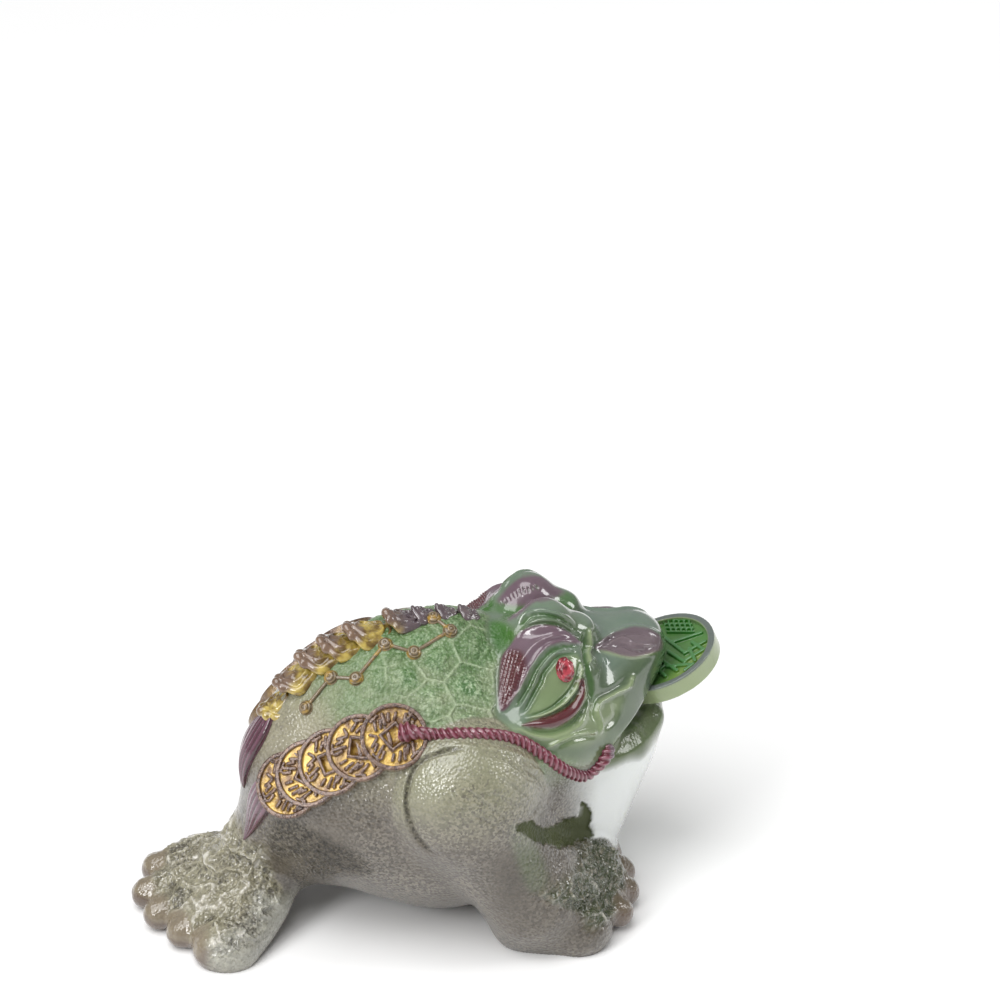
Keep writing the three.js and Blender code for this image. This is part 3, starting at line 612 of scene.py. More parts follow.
# Outlines of painted or carved areas, drawn the same way.
FACE = [(487, 620), (492, 608), (506, 598), (530, 592), (560, 594), (582, 606), (594, 618), (610, 606),
    (650, 602), (670, 626), (670, 656), (656, 700), (630, 732), (598, 762), (570, 760), (546, 752),
    (522, 740), (500, 729), (495, 712), (495.6, 680), (498, 656), (488, 640)]
PATCH = [(581.4, 642.8), (572, 634), (560, 627.2), (549.6, 624.8), (538, 624.8), (526, 628.6),
    (517.6, 634.4), (511, 644), (503.6, 653.6), (500, 664), (499.2, 680), (498.4, 696), (499.6, 708),
    (502.4, 711.2), (507.6, 707.6), (513.2, 698.4), (520, 688.4), (525.4, 678), (532.4, 664),
    (540.4, 654), (547.6, 647.6), (556, 644), (566, 642.4), (576, 643.6)]
PATCH_BEADS = [(503, 656), (513, 650), (523, 654), (526, 668), (520, 684), (511, 700), (503, 709),
    (500, 700), (500, 672)]
CRESCENT = [(583.6, 678.4), (579, 681), (578.6, 690), (574, 700), (564, 708.6), (552, 714.6), (540, 718),
    (528, 722.4), (521.6, 725.2), (530, 727.2), (542, 728.4), (556, 727.2), (568, 721.2), (578, 712),
    (584, 700), (585.4, 688)]
FOOT_STAIN = [(510, 828), (522, 826), (538, 848), (548, 880), (532, 892), (518, 864)]
NOSTRIL = [(594.8, 648.2), (601, 640.4), (610, 634.4), (622, 629.2), (636, 626.4), (650, 628.4),
    (659.6, 635), (663.2, 644), (661, 650.4), (648.4, 654), (634.4, 657), (622, 655.6), (609, 651.6)]
EYEBALL = [(578, 656), (570, 655.6), (562.4, 658), (555, 664.4), (548.4, 674), (542.4, 685), (536, 698),
    (530, 709), (526.4, 714.4), (538, 713), (550, 707), (561, 698), (570, 688), (576, 678), (579, 666)]
# Folds whose crests are painted lighter on the face, a painted highlight; below, the lower cheek's band
# that is painted pale as a painted highlight.
HIGHLIT_CRESTS = ("cheek_fold", "jaw_fold", "under_fold", "crescent_ridge", "low_line", "bridge_ridge",
          "nostril_low")
CHEEK_PAINTED_HIGHLIGHT = [(497, 722), (520, 728), (545, 731), (572, 724), (588, 708), (600, 702), (612, 699),
    (622, 694), (620, 708), (611, 724), (600, 738), (580, 745), (556, 743), (530, 737), (500, 731)]
BROW_POCKET = [(489, 622), (500, 620), (510, 626), (515, 636), (508, 648), (500, 654), (494, 648),
    (489, 636)]
RECESS = [(515.6, 826.2), (532.2, 819.6), (538.2, 826.2), (555.6, 824.9), (568.9, 817.8), (577.8, 815.6),
    (580.4, 802.2), (589.3, 807.1), (590.4, 824.4), (592, 831.6), (595.6, 836), (577.8, 840.4),
    (564.4, 847.1), (546.7, 844.9), (524.4, 836)]
FOOT_TOP = [(513.3, 828.9), (531.1, 837.8), (553.3, 845.6), (577.8, 840), (604.4, 833.3), (618.9, 855.6),
    (624.4, 882.2), (622.2, 904.4), (613.3, 916.7), (591.1, 917.8), (568.9, 908.9), (546.7, 900),
    (534.4, 886.7), (526.7, 873.3), (515.6, 855.6), (510, 840)]
REAR_TOP = [(233.7, 830), (257.4, 845.8), (275.8, 827.4), (291.6, 832.6), (278.4, 866.8), (257.4, 893.2),
    (246.8, 916.8), (225.8, 933.9), (207.4, 937.9), (196.8, 961.6), (170.5, 940.5), (149.5, 919.5),
    (133.7, 898.4), (131.1, 880), (141.6, 856.3), (173.2, 847.1), (202.1, 832.6), (220.5, 824.7)]
GRIT = [(273.2, 819.5), (294.2, 819.5), (320.5, 832.6), (360, 853.7), (373.2, 874.7), (341.6, 877.4),
    (325.8, 881.3), (304.7, 866.8), (294.2, 853.7), (278.4, 858.9), (267.9, 848.4)]
REAR_WALL = [(257.4, 890.5), (273.2, 895.8), (310, 890.5), (294.2, 916.8), (273.2, 948.4), (257.4, 969.5),
    (215.3, 969.5), (207.4, 948.4), (223.2, 935.3), (246.8, 916.8)]


# Middles of the net's larger cells on the right side; the rest are spread evenly between them.
NET_CELLS = [(4.7, -12.3, 45.8), (7.8, -5.9, 50.0), (0.2, -8.2, 49.3), (-2.7, -14.0, 45.2),
    (-6.0, -9.7, 47.6), (-1.7, -4.8, 51.6), (4.3, -2.0, 53.2), (-6.5, -5.2, 51.1), (3.0, -19.1, 42.6),
    (-1.6, -20.4, 42.8), (13.2, -14.1, 45.4), (11.3, -18.6, 41.4), (-9.4, -14.7, 45.5),
    (-11.3, -8.4, 47.0), (-13.7, -11.2, 43.7), (-16.4, -8.4, 44.4), (-18.0, -13.1, 42.6),
    (-19.8, -8.0, 41.9), (-10.3, -4.7, 50.0), (-14.2, -4.8, 48.3), (-20.3, -4.9, 44.0)]


def net_spots(points, weight, spacing, seed):
    """The net's middles: the named ones, and more about this far apart where the weight is not zero."""
    rng = np.random.default_rng(seed)
    usable = points[(weight > 0.02) & (points[:, 1] <= 0)]
    spots = [np.array(q) for q in NET_CELLS]
    for q in usable[rng.permutation(len(usable))[:5000]]:
        if np.min(np.sum((np.array(spots) - q) ** 2, 1)) > spacing ** 2:
            spots.append(q)
    return np.array(spots)


def net_lines(p, spots):
    """Distance to the line between the two nearest spots, and to the nearest spot."""
    edge = np.empty(len(p), np.float32)
    middle = np.empty(len(p), np.float32)
    for k in range(0, len(p), 20000):
        q = p[k:k + 20000]
        d2 = ((q[:, None] - spots[None]) ** 2).sum(-1)
        two = np.argpartition(d2, 1, axis=1)[:, :2]
        a = np.take_along_axis(d2, two[:, :1], 1)[:, 0]
        b = np.take_along_axis(d2, two[:, 1:2], 1)[:, 0]
        near, far = np.minimum(a, b), np.maximum(a, b)
        apart = np.linalg.norm(spots[two[:, 0]] - spots[two[:, 1]], axis=1)
        edge[k:k + 20000] = (far - near) / (2 * np.maximum(apart, 1e-6))
        middle[k:k + 20000] = np.sqrt(near)
    return edge, middle


def folded(p, size, seed):
    """Sharp crumpled ridges of about this spacing, from 0 in the dips to 1 on the crests."""
    return 1 - np.minimum(np.abs(noise(p, size, seed)) * 2.4, 1)


def zones(p, n):
    """Shares of the skin's regions at each point: where the net, the feet and so on lie."""
    side = np.where(p[:, 1] > 0, -1.0, 1.0)
    m = np.stack([p[:, 0], -np.abs(p[:, 1]), p[:, 2]], 1)
    facing = np.stack([n[:, 0], n[:, 1] * side, n[:, 2]], 1)
    to_eye = EYE - m
    seen = smooth((facing * to_eye).sum(1) / np.linalg.norm(to_eye, axis=1), 0.0, 0.25)
    q = on_picture(m)
    x, _, z = m.T
    to_trunk = np.minimum(trunk(m.T), ellipsoid(m.T, (14, -13, 34), (13, 9, 8)))
    to_leg = front_leg(m.T)
    to_rear = rear_leg(p.T)
    to_head = head(m.T)
    leg = smooth(to_trunk - to_leg, -0.5, 0.5) * smooth(to_head - to_leg, -0.5, 0.5)
    by_leg = smooth(to_trunk - to_leg, -3, -1) * smooth(to_head - to_leg, -0.5, 0.5)
    rear = smooth(to_trunk - to_rear, -1.5, 1.5) * smooth(-p[:, 0], 14, 20)
    high = (1 - leg) * smooth(z, 29, 33)
    face = region(q, FACE, 5) * seen * smooth(x, 6, 8) * high
    brow = smooth(-np.linalg.norm((m - (20, -4, 51)) / (8.6, 5.2, 6.4), axis=1), -1.12, -0.92)
    snout = smooth(x, 25.8, 27.6) * smooth(z, 32, 35)
    skull = smooth(x, 10, 13) * smooth(to_trunk - to_head, 0.2, 2.2) * high
    face = np.maximum.reduce([face, brow, snout, skull])
    throat = smooth(x, 18, 27) * smooth(-z, -33, -29) * (1 - leg)
    back = (1 - leg) * (1 - rear) * (1 - face) * (1 - throat)
    net = back * smooth(z, 32, 37) * smooth(x, -27, -19)
    front_foot = np.maximum(region(q, FOOT_TOP, 4) * seen, smooth(n[:, 2], 0.25, 0.6) * smooth(x, 14, 18))
    front_foot = front_foot * leg * smooth(-z, -17, -13)
    rear_foot = rear * smooth(n[:, 2], 0.25, 0.55) * smooth(-x, 23, 29)
    rear_top = rear * region(q, REAR_TOP, 5) * seen * (p[:, 1] < 0) * smooth(n[:, 2], -0.2, 0.2)
    rear_foot = np.maximum(rear_foot, rear_top)
    grit = region(q, GRIT, 9) * seen * (1 - rear * smooth(-x, 27, 30))
    torn = q + 2.2 * sway(p, 0.9, 8, 9)
    recess = region(torn, RECESS, 0.8) * seen * (1 - face)
    pocket = region(q, BROW_POCKET, 5) * seen
    return {
        "mirror": m, "picture": q, "seen": seen, "facing": facing, "leg": leg, "by_leg": by_leg,
        "rear": rear, "brow": brow, "snout": snout, "face": face, "throat": throat, "back": back,
        "net": net, "front_foot": front_foot, "rear_foot": rear_foot, "grit": grit, "recess": recess,
        "pocket": pocket, "foot": np.maximum(front_foot, rear_foot), "shoulder": leg * smooth(z, 13, 20)}


BROW_PIT_LINE = [(13.6, -2.6, 51.2), (15.6, -2.2, 53.2), (18, -2.0, 54.4), (20.6, -2.0, 54.6)]
BROW_PIT_COUNT = 11


def far_pits(m, facing):
    """A row of small pits down the inner side of each brow."""
    d, t = along(m.astype(np.float32), curve(BROW_PIT_LINE, 20))
    row = np.exp(-(d / 0.5) ** 2) * smooth(np.cos(2 * np.pi * BROW_PIT_COUNT * t), 0.1, 0.8)
    return row * smooth(facing[:, 1], 0.1, 0.4)


def toe_ends(m, p):
    """Share from 0 to 1 of lying on the smooth bulb at a toe's tip."""
    out = np.zeros(len(p), np.float32)
    for toes, at in ((FRONT_TOES, m), (REAR_TOES, p)):
        for _, tip in toes:
            apart = np.linalg.norm(at - np.array(tip[:3]) - (0.6 if at is m else -0.6, 0, 0), axis=1)
            out = np.maximum(out, smooth(-apart, -tip[3] - 1.6, -tip[3] - 0.4))
    return out


def relief(p, n, spots):
    """Height of the carving over the plain form at each point, with the region shares."""
    zone = zones(p, n)
    m, q, seen, face = zone["mirror"], zone["picture"], zone["seen"], zone["face"]
    h = np.zeros(len(p), np.float32)
    uneven = q + 0.9 * sway(p, 1.7, 6, 7)
    for name, (line, width, height, fade) in FOLDS.items():
        if name != "shoulder_edge":
            h += ridge(uneven, line, width, height, fade) * seen
    h *= np.maximum(face, zone["by_leg"] * smooth(m[:, 2], 10, 14))
    crease = ridge(uneven, *FOLDS["shoulder_edge"]) * seen * (1 - face)
    h += crease
    h += 0.3 * region(q, PATCH, 2) * seen * face
    u, v = q[:, 0] * 0.5 + q[:, 1] * 0.87, q[:, 0] * 0.87 - q[:, 1] * 0.5
    beads = region(q, PATCH_BEADS, 3) * seen * face
    h += 0.27 * beads * np.maximum(np.cos(2 * np.pi * u / 5.2) * np.cos(2 * np.pi * v / 5.2), -0.3)
    h += 0.35 * region(q, CRESCENT, 2) * seen * face
    h -= 0.35 * zone["recess"]
    h -= 0.4 * far_pits(m, zone["facing"])

    edge, middle = net_lines(m + 0.35 * sway(p, 3.5, 1, 2, 3), spots)
    clear = 0.3 + 0.7 * smooth(p[:, 0], -18, -4)
    line = np.exp(-(edge / 0.24) ** 2) * smooth(noise(p, 4.5, 5) + 0.9 * smooth(p[:, 0], -8, 2), -0.4, 0.3)
    flat = smooth(along(p, np.array(STARS, float))[0], 0.9, 2.4) * smooth(np.abs(m[:, 1]), 1.6, 4)
    h += flat * zone["net"] * clear * (0.3 * line + 0.5 * (1 - (np.minimum(middle, 2.9) / 2.9) ** 2))
    dome = zone["net"] * smooth(-middle, -2.9, -1.9)

    grain = 0.6 * noise(p, 0.95, 11) + 0.4 * noise(p, 0.6, 12)
    h += grain * (0.05 * zone["back"] + 0.17 * dome + 0.04 * zone["shoulder"])
    h += 0.13 * zone["grit"] * noise(p, 0.75, 14) + 0.24 * zone["pocket"] * noise(p, 1.1, 15)

    bent = p + 0.7 * sway(p, 2.6, 21, 22, 23)
    crumple = 0.74 * folded(bent * (0.62, 1.15, 1), 3.2, 31) + 0.26 * folded(bent, 1.3, 32)
    h += zone["foot"] * (1 - 0.85 * toe_ends(m, p)) * (1.2 * crumple - 0.6)
    h += 0.12 * noise(p, 5, 61) * (1 - face) * (1 - zone["throat"])
    return h, zone, {"line": line, "dome": dome, "crumple": crumple, "crease": np.minimum(-1.4 * crease, 1)}


# Materials.


def material(name):
    made = bpy.data.materials.new(name)
    made.use_nodes = True
    tree = made.node_tree
    shader = next(n for n in tree.nodes if n.type == "BSDF_PRINCIPLED")
    return made, tree, shader


def node(tree, kind, **values):
    made = tree.nodes.new(kind)
    for key, value in values.items():
        if key in made.inputs:
            made.inputs[key].default_value = value
        else:
            setattr(made, key, value)
    return made


def colour(r, g, b):
    """A colour as the eye's 0 to 255 values, as the linear values a shader takes."""
    def linear(v):
        v /= 255
        return v / 12.92 if v <= 0.04045 else ((v + 0.055) / 1.055) ** 2.4
    return (linear(r), linear(g), linear(b), 1.0)


def mask(tree, name):
    return node(tree, "ShaderNodeAttribute", attribute_name=name).outputs["Fac"]


def feed(tree, value, socket):
    """Gives a socket a number, a colour as three values, a mask by its name, or another node's output."""
    if isinstance(value, tuple):
        socket.default_value = colour(*value)
    elif isinstance(value, (int, float)):
        socket.default_value = value
    else:
        tree.links.new(mask(tree, value) if isinstance(value, str) else value, socket)


def mixed(tree, factor, a, b):
    made = node(tree, "ShaderNodeMix", data_type="RGBA")
    for name, value in (("Factor_Float", factor), ("A_Color", a), ("B_Color", b)):
        feed(tree, value, next(s for s in made.inputs if s.identifier == name))
    return next(s for s in made.outputs if s.identifier == "Result_Color")


def maths(tree, operation, a, b=0.0, c=0.0):
    made = node(tree, "ShaderNodeMath", operation=operation)
    for socket, value in zip(made.inputs, (a, b, c)):
        feed(tree, value, socket)
    return made.outputs[0]


def ramp(tree, value, low, high):
    made = node(tree, "ShaderNodeMapRange", interpolation_type="SMOOTHSTEP")
    made.inputs["From Min"].default_value = low
    made.inputs["From Max"].default_value = high
    tree.links.new(value, made.inputs["Value"])
    return made.outputs["Result"]


def set_in_place(tree, made):
    """Makes a pattern follow the places in the scene, in metres."""
    spot = node(tree, "ShaderNodeNewGeometry")
    tree.links.new(spot.outputs["Position"], made.inputs["Vector"])


def texture(tree, scale, detail=2.0, roughness=0.5):
    """Smooth noise; scale is how many bumps go in a metre."""
    made = node(tree, "ShaderNodeTexNoise", Scale=scale, Detail=detail, Roughness=roughness)
    set_in_place(tree, made)
    return made.outputs["Fac"]


def pebbles(tree, scale):
    """Rounded grains, with the distance from the middle of each and a random colour for each."""
    made = node(tree, "ShaderNodeTexVoronoi", Scale=scale)
    set_in_place(tree, made)
    return made.outputs


def bump(tree, shader, height, distance):
    made = node(tree, "ShaderNodeBump", Strength=1.0, Distance=distance)
    tree.links.new(height, made.inputs["Height"])
    tree.links.new(made.outputs["Normal"], shader.inputs["Normal"])
    tree.links.new(made.outputs["Normal"], shader.inputs["Coat Normal"])


def dress(tree, shader, base, height, distance):
    """Gives a material its colour and its bumps."""
    tree.links.new(base, shader.inputs["Base Color"])
    bump(tree, shader, height, distance)


def gloss(shader, roughness, coat, under=0.0, radius=(1, 1, 1), scale=0.004):
    shader.inputs["Roughness"].default_value = roughness
    shader.inputs["Coat Weight"].default_value = coat
    shader.inputs["Coat Roughness"].default_value = 0.04
    shader.inputs["Subsurface Weight"].default_value = under
    shader.inputs["Subsurface Radius"].default_value = radius
    shader.inputs["Subsurface Scale"].default_value = scale


def resin_material():
    made, tree, shader = material("toad_resin")
    gloss(shader, 0.3, 1.0, 0.25, (1.0, 1.0, 0.7), 0.002)
    fine = maths(tree, "SUBTRACT", 1.0, pebbles(tree, 1700)["Distance"])
    shade = pebbles(tree, 2700)["Color"]
    patchy = texture(tree, 130, 3)
    speck = texture(tree, 1150, 4, 0.7)
    stone = mixed(tree, patchy, (66, 59, 50), (102, 93, 81))
    cream = mixed(tree, "cream", stone, mixed(tree, patchy, (138, 133, 108), (174, 170, 146)))
    pale = mixed(tree, "pale", cream, (222, 226, 224))
    dome = mixed(tree, ramp(tree, speck, 0.4, 0.62), (54, 102, 44), (182, 204, 166))
    green = mixed(tree, "dome", mixed(tree, patchy, (82, 110, 66), (128, 150, 106)), dome)
    tint = mixed(tree, "green", pale, green)
    # Deep saturated green: the resin's own deep green in pockets and between the brows, and painted shade
    # in the grooves of the face.
    vivid = mixed(tree, "vivid", tint, mixed(tree, patchy, (18, 76, 4), (70, 118, 38)))
    line = mixed(tree, "line", vivid, (196, 210, 178))
    # Painted reflection: the glass colour turns lighter where the face looks up, standing in for the bright
    # studio mirrored there.
    clear = mixed(tree, "sky", mixed(tree, patchy, (46, 68, 50), (86, 103, 74)),
                  mixed(tree, patchy, (88, 108, 98), (130, 144, 132)))
    shell = mixed(tree, "glass", line, clear)
    # Painted highlight: pale along the face's fold crests and across the lower cheek; the same mask also
    # gives the eyeball its own paler tint.
    glass = mixed(tree, "glow", shell, (168, 182, 138))
    # Dark paint: the flank's real dark grit, and painted shade in crevices, low spots and the shoulder
    # crease.
    grit = mixed(tree, maths(tree, "MULTIPLY", "grit", ramp(tree, speck, 0.34, 0.56)), glass,
                 (34, 31, 24))
    grains = mixed(tree, ramp(tree, shade, 0.2, 0.8), (34, 28, 22), (172, 164, 148))
    salt = mixed(tree, maths(tree, "MULTIPLY", "salt", 0.42), grit, grains)
    dots = maths(tree, "MULTIPLY", "salt", ramp(tree, shade, 0.74, 0.8))
    pepper = mixed(tree, maths(tree, "MULTIPLY", dots, 0.8), salt, (38, 34, 30))
    # Painted highlight: pale crests on the feet's crumples.
    frost = mixed(tree, "frost", pepper, (212, 208, 198))
    olive = mixed(tree, maths(tree, "MULTIPLY", "olive", ramp(tree, speck, 0.28, 0.6)), frost,
                  (52, 62, 32))
    # Painted shade: dark olive in the recess behind the forearm and under the lower lip.
    moss = mixed(tree, "moss", olive, mixed(tree, patchy, (46, 52, 28), (88, 94, 62)))
    purple = mixed(tree, "purple", moss, mixed(tree, patchy, (88, 66, 78), (118, 98, 108)))
    crimson = mixed(tree, "crimson", purple, (80, 24, 30))
    amber = mixed(tree, "nail", crimson, (112, 92, 78))
    bare = maths(tree, "MAXIMUM", "moss", maths(tree, "MULTIPLY", "grit", 0.6))
    bare = maths(tree, "MAXIMUM", bare, "flat")
    for socket, value, factor, start in (
            ("Roughness", "dull", 0.3, 0.2), ("Coat Roughness", "dull", 0.26, 0.04),
            ("Coat Weight", bare, -1.0, 1.0), ("Specular IOR Level", bare, -0.4, 0.5)):
        tree.links.new(maths(tree, "MULTIPLY_ADD", value, factor, start), shader.inputs[socket])
    dress(tree, shader, amber, maths(tree, "MULTIPLY", fine, "grain"), 0.0003)
    return made


def coin_resin():
    made, tree, shader = material("coin_resin")
    gloss(shader, 0.3, 0.5, 0.2, (0.8, 1.0, 0.5), 0.002)
    side = mixed(tree, texture(tree, 120), (130, 146, 98), (164, 176, 142))
    green = mixed(tree, texture(tree, 250), (8, 84, 2), (44, 120, 20))
    yellow = mixed(tree, "yellow", green, (112, 138, 50))
    base = mixed(tree, "green", side, yellow)
    rim = mixed(tree, "rim", base, (96, 104, 100))
    stroke = mixed(tree, "stroke", rim, (72, 122, 70))
    dress(tree, shader, stroke, texture(tree, 900, 3), 0.0001)
    return made


def gold_material():
    made, tree, shader = material("gold_paint")
    gloss(shader, 0.26, 0.9)
    worn = texture(tree, 1300, 4, 0.65)
    gold = mixed(tree, ramp(tree, texture(tree, 420, 3), 0.35, 0.65), (100, 64, 16), (204, 168, 78))
    brown = mixed(tree, ramp(tree, worn, 0.35, 0.65), (66, 44, 36), (118, 92, 76))
    base = mixed(tree, "high", gold, brown)
    low = mixed(tree, "side", base, (104, 84, 70))
    shader.inputs["Metallic"].default_value = 0.35
    dress(tree, shader, low, worn, 0.00016)
    return made


def rope_material():
    made, tree, shader = material("crimson_paint")
    gloss(shader, 0.28, 0.9)
    base = mixed(tree, texture(tree, 420, 3), (74, 12, 28), (118, 36, 56))
    # Painted highlight: the crests of the strands are painted lighter pink.
    high = mixed(tree, "high", base, (160, 106, 122))
    end = mixed(tree, "end", high, (104, 82, 92))
    dress(tree, shader, end, texture(tree, 1200, 3), 0.00012)
    return made


def plate_material():
    made, tree, shader = material("plate_paint")
    gloss(shader, 0.26, 1.0, 0.1, (1.0, 0.8, 0.4), 0.002)
    gold = mixed(tree, ramp(tree, texture(tree, 500, 3), 0.35, 0.65), (98, 74, 24), (186, 164, 82))
    rim = mixed(tree, texture(tree, 300), (86, 64, 52), (140, 114, 92))
    base = mixed(tree, "high", gold, rim)
    dark = mixed(tree, "front", base, mixed(tree, texture(tree, 500), (58, 44, 52), (112, 98, 100)))
    dress(tree, shader, dark, texture(tree, 900, 3), 0.0001)
    return made


def bead_material():
    made, tree, shader = material("bronze_paint")
    gloss(shader, 0.3, 0.8)
    base = mixed(tree, "high", (78, 62, 32), (142, 124, 98))
    worn = mixed(tree, ramp(tree, texture(tree, 700, 3), 0.5, 0.7), base, (158, 124, 40))
    dress(tree, shader, worn, texture(tree, 1500, 3), 0.0001)
    return made


def leaf_material():
    made, tree, shader = material("purple_paint")
    gloss(shader, 0.26, 1.0, 0.1, (1.0, 0.5, 0.7), 0.002)
    base = mixed(tree, texture(tree, 260, 3), (78, 38, 54), (128, 88, 106))
    low = mixed(tree, "low", base, (62, 30, 40))
    dress(tree, shader, low, texture(tree, 900, 3), 0.0001)
    return made


def pupil_material():
    made, tree, shader = material("red_paint")
    gloss(shader, 0.2, 1.0)
    base = mixed(tree, ramp(tree, texture(tree, 900, 3), 0.4, 0.62), (98, 12, 24), (176, 62, 74))
    dress(tree, shader, base, texture(tree, 900, 3), 0.00015)
    return made


# The body.


def body():
    def cut(p):
        return np.maximum(toad(p), GROUND - p[2])

    points, faces = net_of(cut, (-54, -34, -1.5), (46, 34, 58), STEP)
    on_ground = points[:, 2] < 0.4 * STEP
    normal = slope(toad, points, 0.3)
    for _ in range(2):
        step = toad(points.T)
        points = points - np.where(on_ground, 0, step)[:, None] * normal * 0.9
    normal = slope(toad, points, 0.35)
    zone = zones(points, normal)
    spots = net_spots(points, zone["net"], 5.6, 4)
    h, zone, lines = relief(points, normal, spots)
    h *= smooth(points[:, 2], 0.2, 1.6)
    points = points + normal * h[:, None]
    points[:, 2] = np.clip(points[:, 2], 0, TOP)
    points[on_ground, 2] = 0
    piece = make_object("toad_body", points, faces, resin_material())
    thin(piece, BODY_TRIANGLES)
    p = places(piece)
    n = slope(toad, p, 0.35)
    h, zone, lines = relief(p, n, spots)
    colour_body(piece, p, h, zone, lines)
    return piece


def colour_body(piece, p, h, zone, lines):
    m, q, seen, face = zone["mirror"], zone["picture"], zone["seen"], zone["face"]
    x, _, z = m.T
    leg, net, foot = zone["leg"], zone["net"], zone["foot"]

    def on_face(outline, soft):
        return region(q, outline, soft) * seen * face

    blotch = noise(p, 7, 71)
    fine = noise(p, 2.4, 72)
    back = smooth(z + 0.32 * x + 2.4 * blotch, 30, 41) * smooth(x, -33, -14) * (1 - leg)
    cheek = smooth(z + 2 * blotch, 30, 37) * smooth(x, 0, 8) * (1 - leg)
    near_leg = 0.22 * zone["shoulder"] * smooth(z, 24, 38)
    stain = 0.4 * region(q, FOOT_STAIN, 6) * seen * leg
    lip = smooth(-chain(m.T, LOWER_LIP, 1.5), -2.4, -0.8) * smooth(x, 25, 27)
    lip *= 1 - zone["snout"] * smooth(z, 33, 34)
    green = np.maximum(np.maximum.reduce([back, cheek, near_leg, stain]) * (1 - zone["throat"]), lip)
    paint(piece, "green", green * (0.85 + 0.15 * fine))
    paint(piece, "dome", np.maximum(lines["dome"], 0.35 * net) * smooth(x, -22, 2) * (0.75 + 0.25 * fine))
    paint(piece, "line", 0.4 * net * lines["line"] * smooth(x, -18, -4))
    rear_wall = region(q, REAR_WALL, 8) * seen * zone["rear"]
    paint(piece, "cream", np.maximum.reduce([
        0.85 * zone["shoulder"] * smooth(z, 23, 37), 0.9 * zone["back"] * smooth(z, 28, 38),
        rear_wall, zone["rear_foot"], 0.35 * zone["front_foot"]]))
    paint(piece, "pale", np.maximum(zone["throat"] * (1 - lip), 0.35 * rear_wall))
    pocket = zone["pocket"]
    ball = on_face(EYEBALL, 2.5)
    # Painted highlight: the face is painted pale along the crests of these folds and across the lower cheek
    # band; the eyeball's paler tint rides on the same mask.
    crest_highlight = 0
    for name in HIGHLIT_CRESTS:
        line, width, _, fade = FOLDS[name]
        crest_highlight = np.maximum(crest_highlight, ridge(q, line, 1.3 * width, 1, fade))
    cheek_painted_highlight = region(q, CHEEK_PAINTED_HIGHLIGHT, 7)
    paint(piece, "glow", np.maximum.reduce([0.5 * crest_highlight, 0.4 * cheek_painted_highlight, 0.22 * ball]) * seen * face)
    # Painted reflection: the parts of the face that look up are painted lighter.
    paint(piece, "sky", 0.85 * smooth(zone["facing"][:, 2], 0.5, 0.85) * face)
    # Painted shade: the grooves of the face carving are painted deep green.
    dips = smooth(-h, -0.05, 0.35) * face * (1 - zone["snout"])
    valley = smooth(-np.abs(m[:, 1]), -2.6, -1.6) * smooth(x, 12, 15) * smooth(-x, -26, -22)
    valley *= smooth(z, 44, 47)
    inner_side = zone["brow"] * smooth(zone["facing"][:, 1], -0.05, 0.2)
    below = inner_side * smooth(-z, -52.6, -51.8)
    vivid = np.maximum.reduce([
        0.9 * pocket, 0.75 * dips, 0.12 * ball, 0.8 * valley * zone["brow"], 0.75 * below,
        0.5 * net * smooth(z + 3 * fine, 45, 51) * smooth(x, -18, -6)])
    paint(piece, "vivid", vivid)
    glass = np.maximum(0.9 * zone["snout"] * smooth(z, 33, 36), 0.72 * face)
    paint(piece, "glass", glass * (1 - 0.8 * ball) * (1 - 0.9 * vivid) * smooth(z, 31, 35))
    low = smooth(-h, 0.0, 0.4)
    plain = (1 - face) * (1 - zone["throat"])
    skin = 1 - toe_ends(m, p)
    # Dark paint: painted shade in the dips of the feet's crumples, in low spots of the back and along the
    # shoulder crease; the real dark grit band on the flank; and a little darker towards the bottom of the
    # body.
    grit = np.maximum.reduce([
        foot * smooth(0.32 - lines["crumple"], 0, 0.3) * 0.8 * skin, 0.9 * zone["grit"],
        0.3 * zone["back"] * low, 0.25 * plain * smooth(-z, -30, -18), 0.95 * lines["crease"]])
    paint(piece, "grit", grit)
    paint(piece, "olive", 0.95 * zone["front_foot"] * smooth(z, 3, 6))
    # Painted highlight: the crests of the feet's crumples are painted pale.
    paint(piece, "frost", foot * smooth(lines["crumple"], 0.64, 0.92) * 0.8 * skin)
    paint(piece, "salt", plain * (1 - 0.75 * net) * (0.55 + 0.45 * blotch) * skin)
    # Painted shade: the recess behind the forearm, and half as strong under the lower lip.
    paint(piece, "moss", np.maximum(zone["recess"], 0.5 * lip))
    upper = inner_side * smooth(z, 51.8, 52.6)
    pits = 1 - 0.5 * far_pits(m, zone["facing"])
    purple = np.maximum.reduce([on_face(PATCH, 1.5), 0.85 * on_face(NOSTRIL, 1.5), upper])
    paint(piece, "purple", purple * pits)
    paint(piece, "crimson", np.maximum(on_face(CRESCENT, 1.5), 0.92 * on_face(PATCH_BEADS, 4)))
    paint(piece, "nail", 0.55 * (1 - skin) * np.maximum(leg, zone["rear"]))
    grain = np.maximum.reduce([0.9 * net, 0.45 * zone["back"], 0.4 * leg * (1 - foot), 0.3 * foot,
                               0.9 * zone["grit"], 0.16 + 0 * x])
    grain = grain * plain + 0.02 + 0.5 * pocket
    paint(piece, "dull", grain * (1 - foot))
    paint(piece, "flat", np.maximum(0.85 * pocket, 0.4 * net))
    paint(piece, "grain", np.maximum(grain, 0.75 * foot * skin))


# Coins.


def axes_at(facing):
    """Axes of a coin that faces this way: across, along and out of its face."""
    z = unit(np.array(facing, float))
    y = unit(np.cross(z, (1.0, 0.0, 0.0)))
    return np.stack([np.cross(y, z), y, z])


def seats(spots, reach):
    """The places of the body's skin nearest to the spots, and the way it faces there."""
    at = np.array(spots, np.float32)
    for _ in range(6):
        at = at - slope(toad, at, reach) * toad(at.T)[:, None]
    return at.astype(float), slope(toad, at, reach).astype(float)


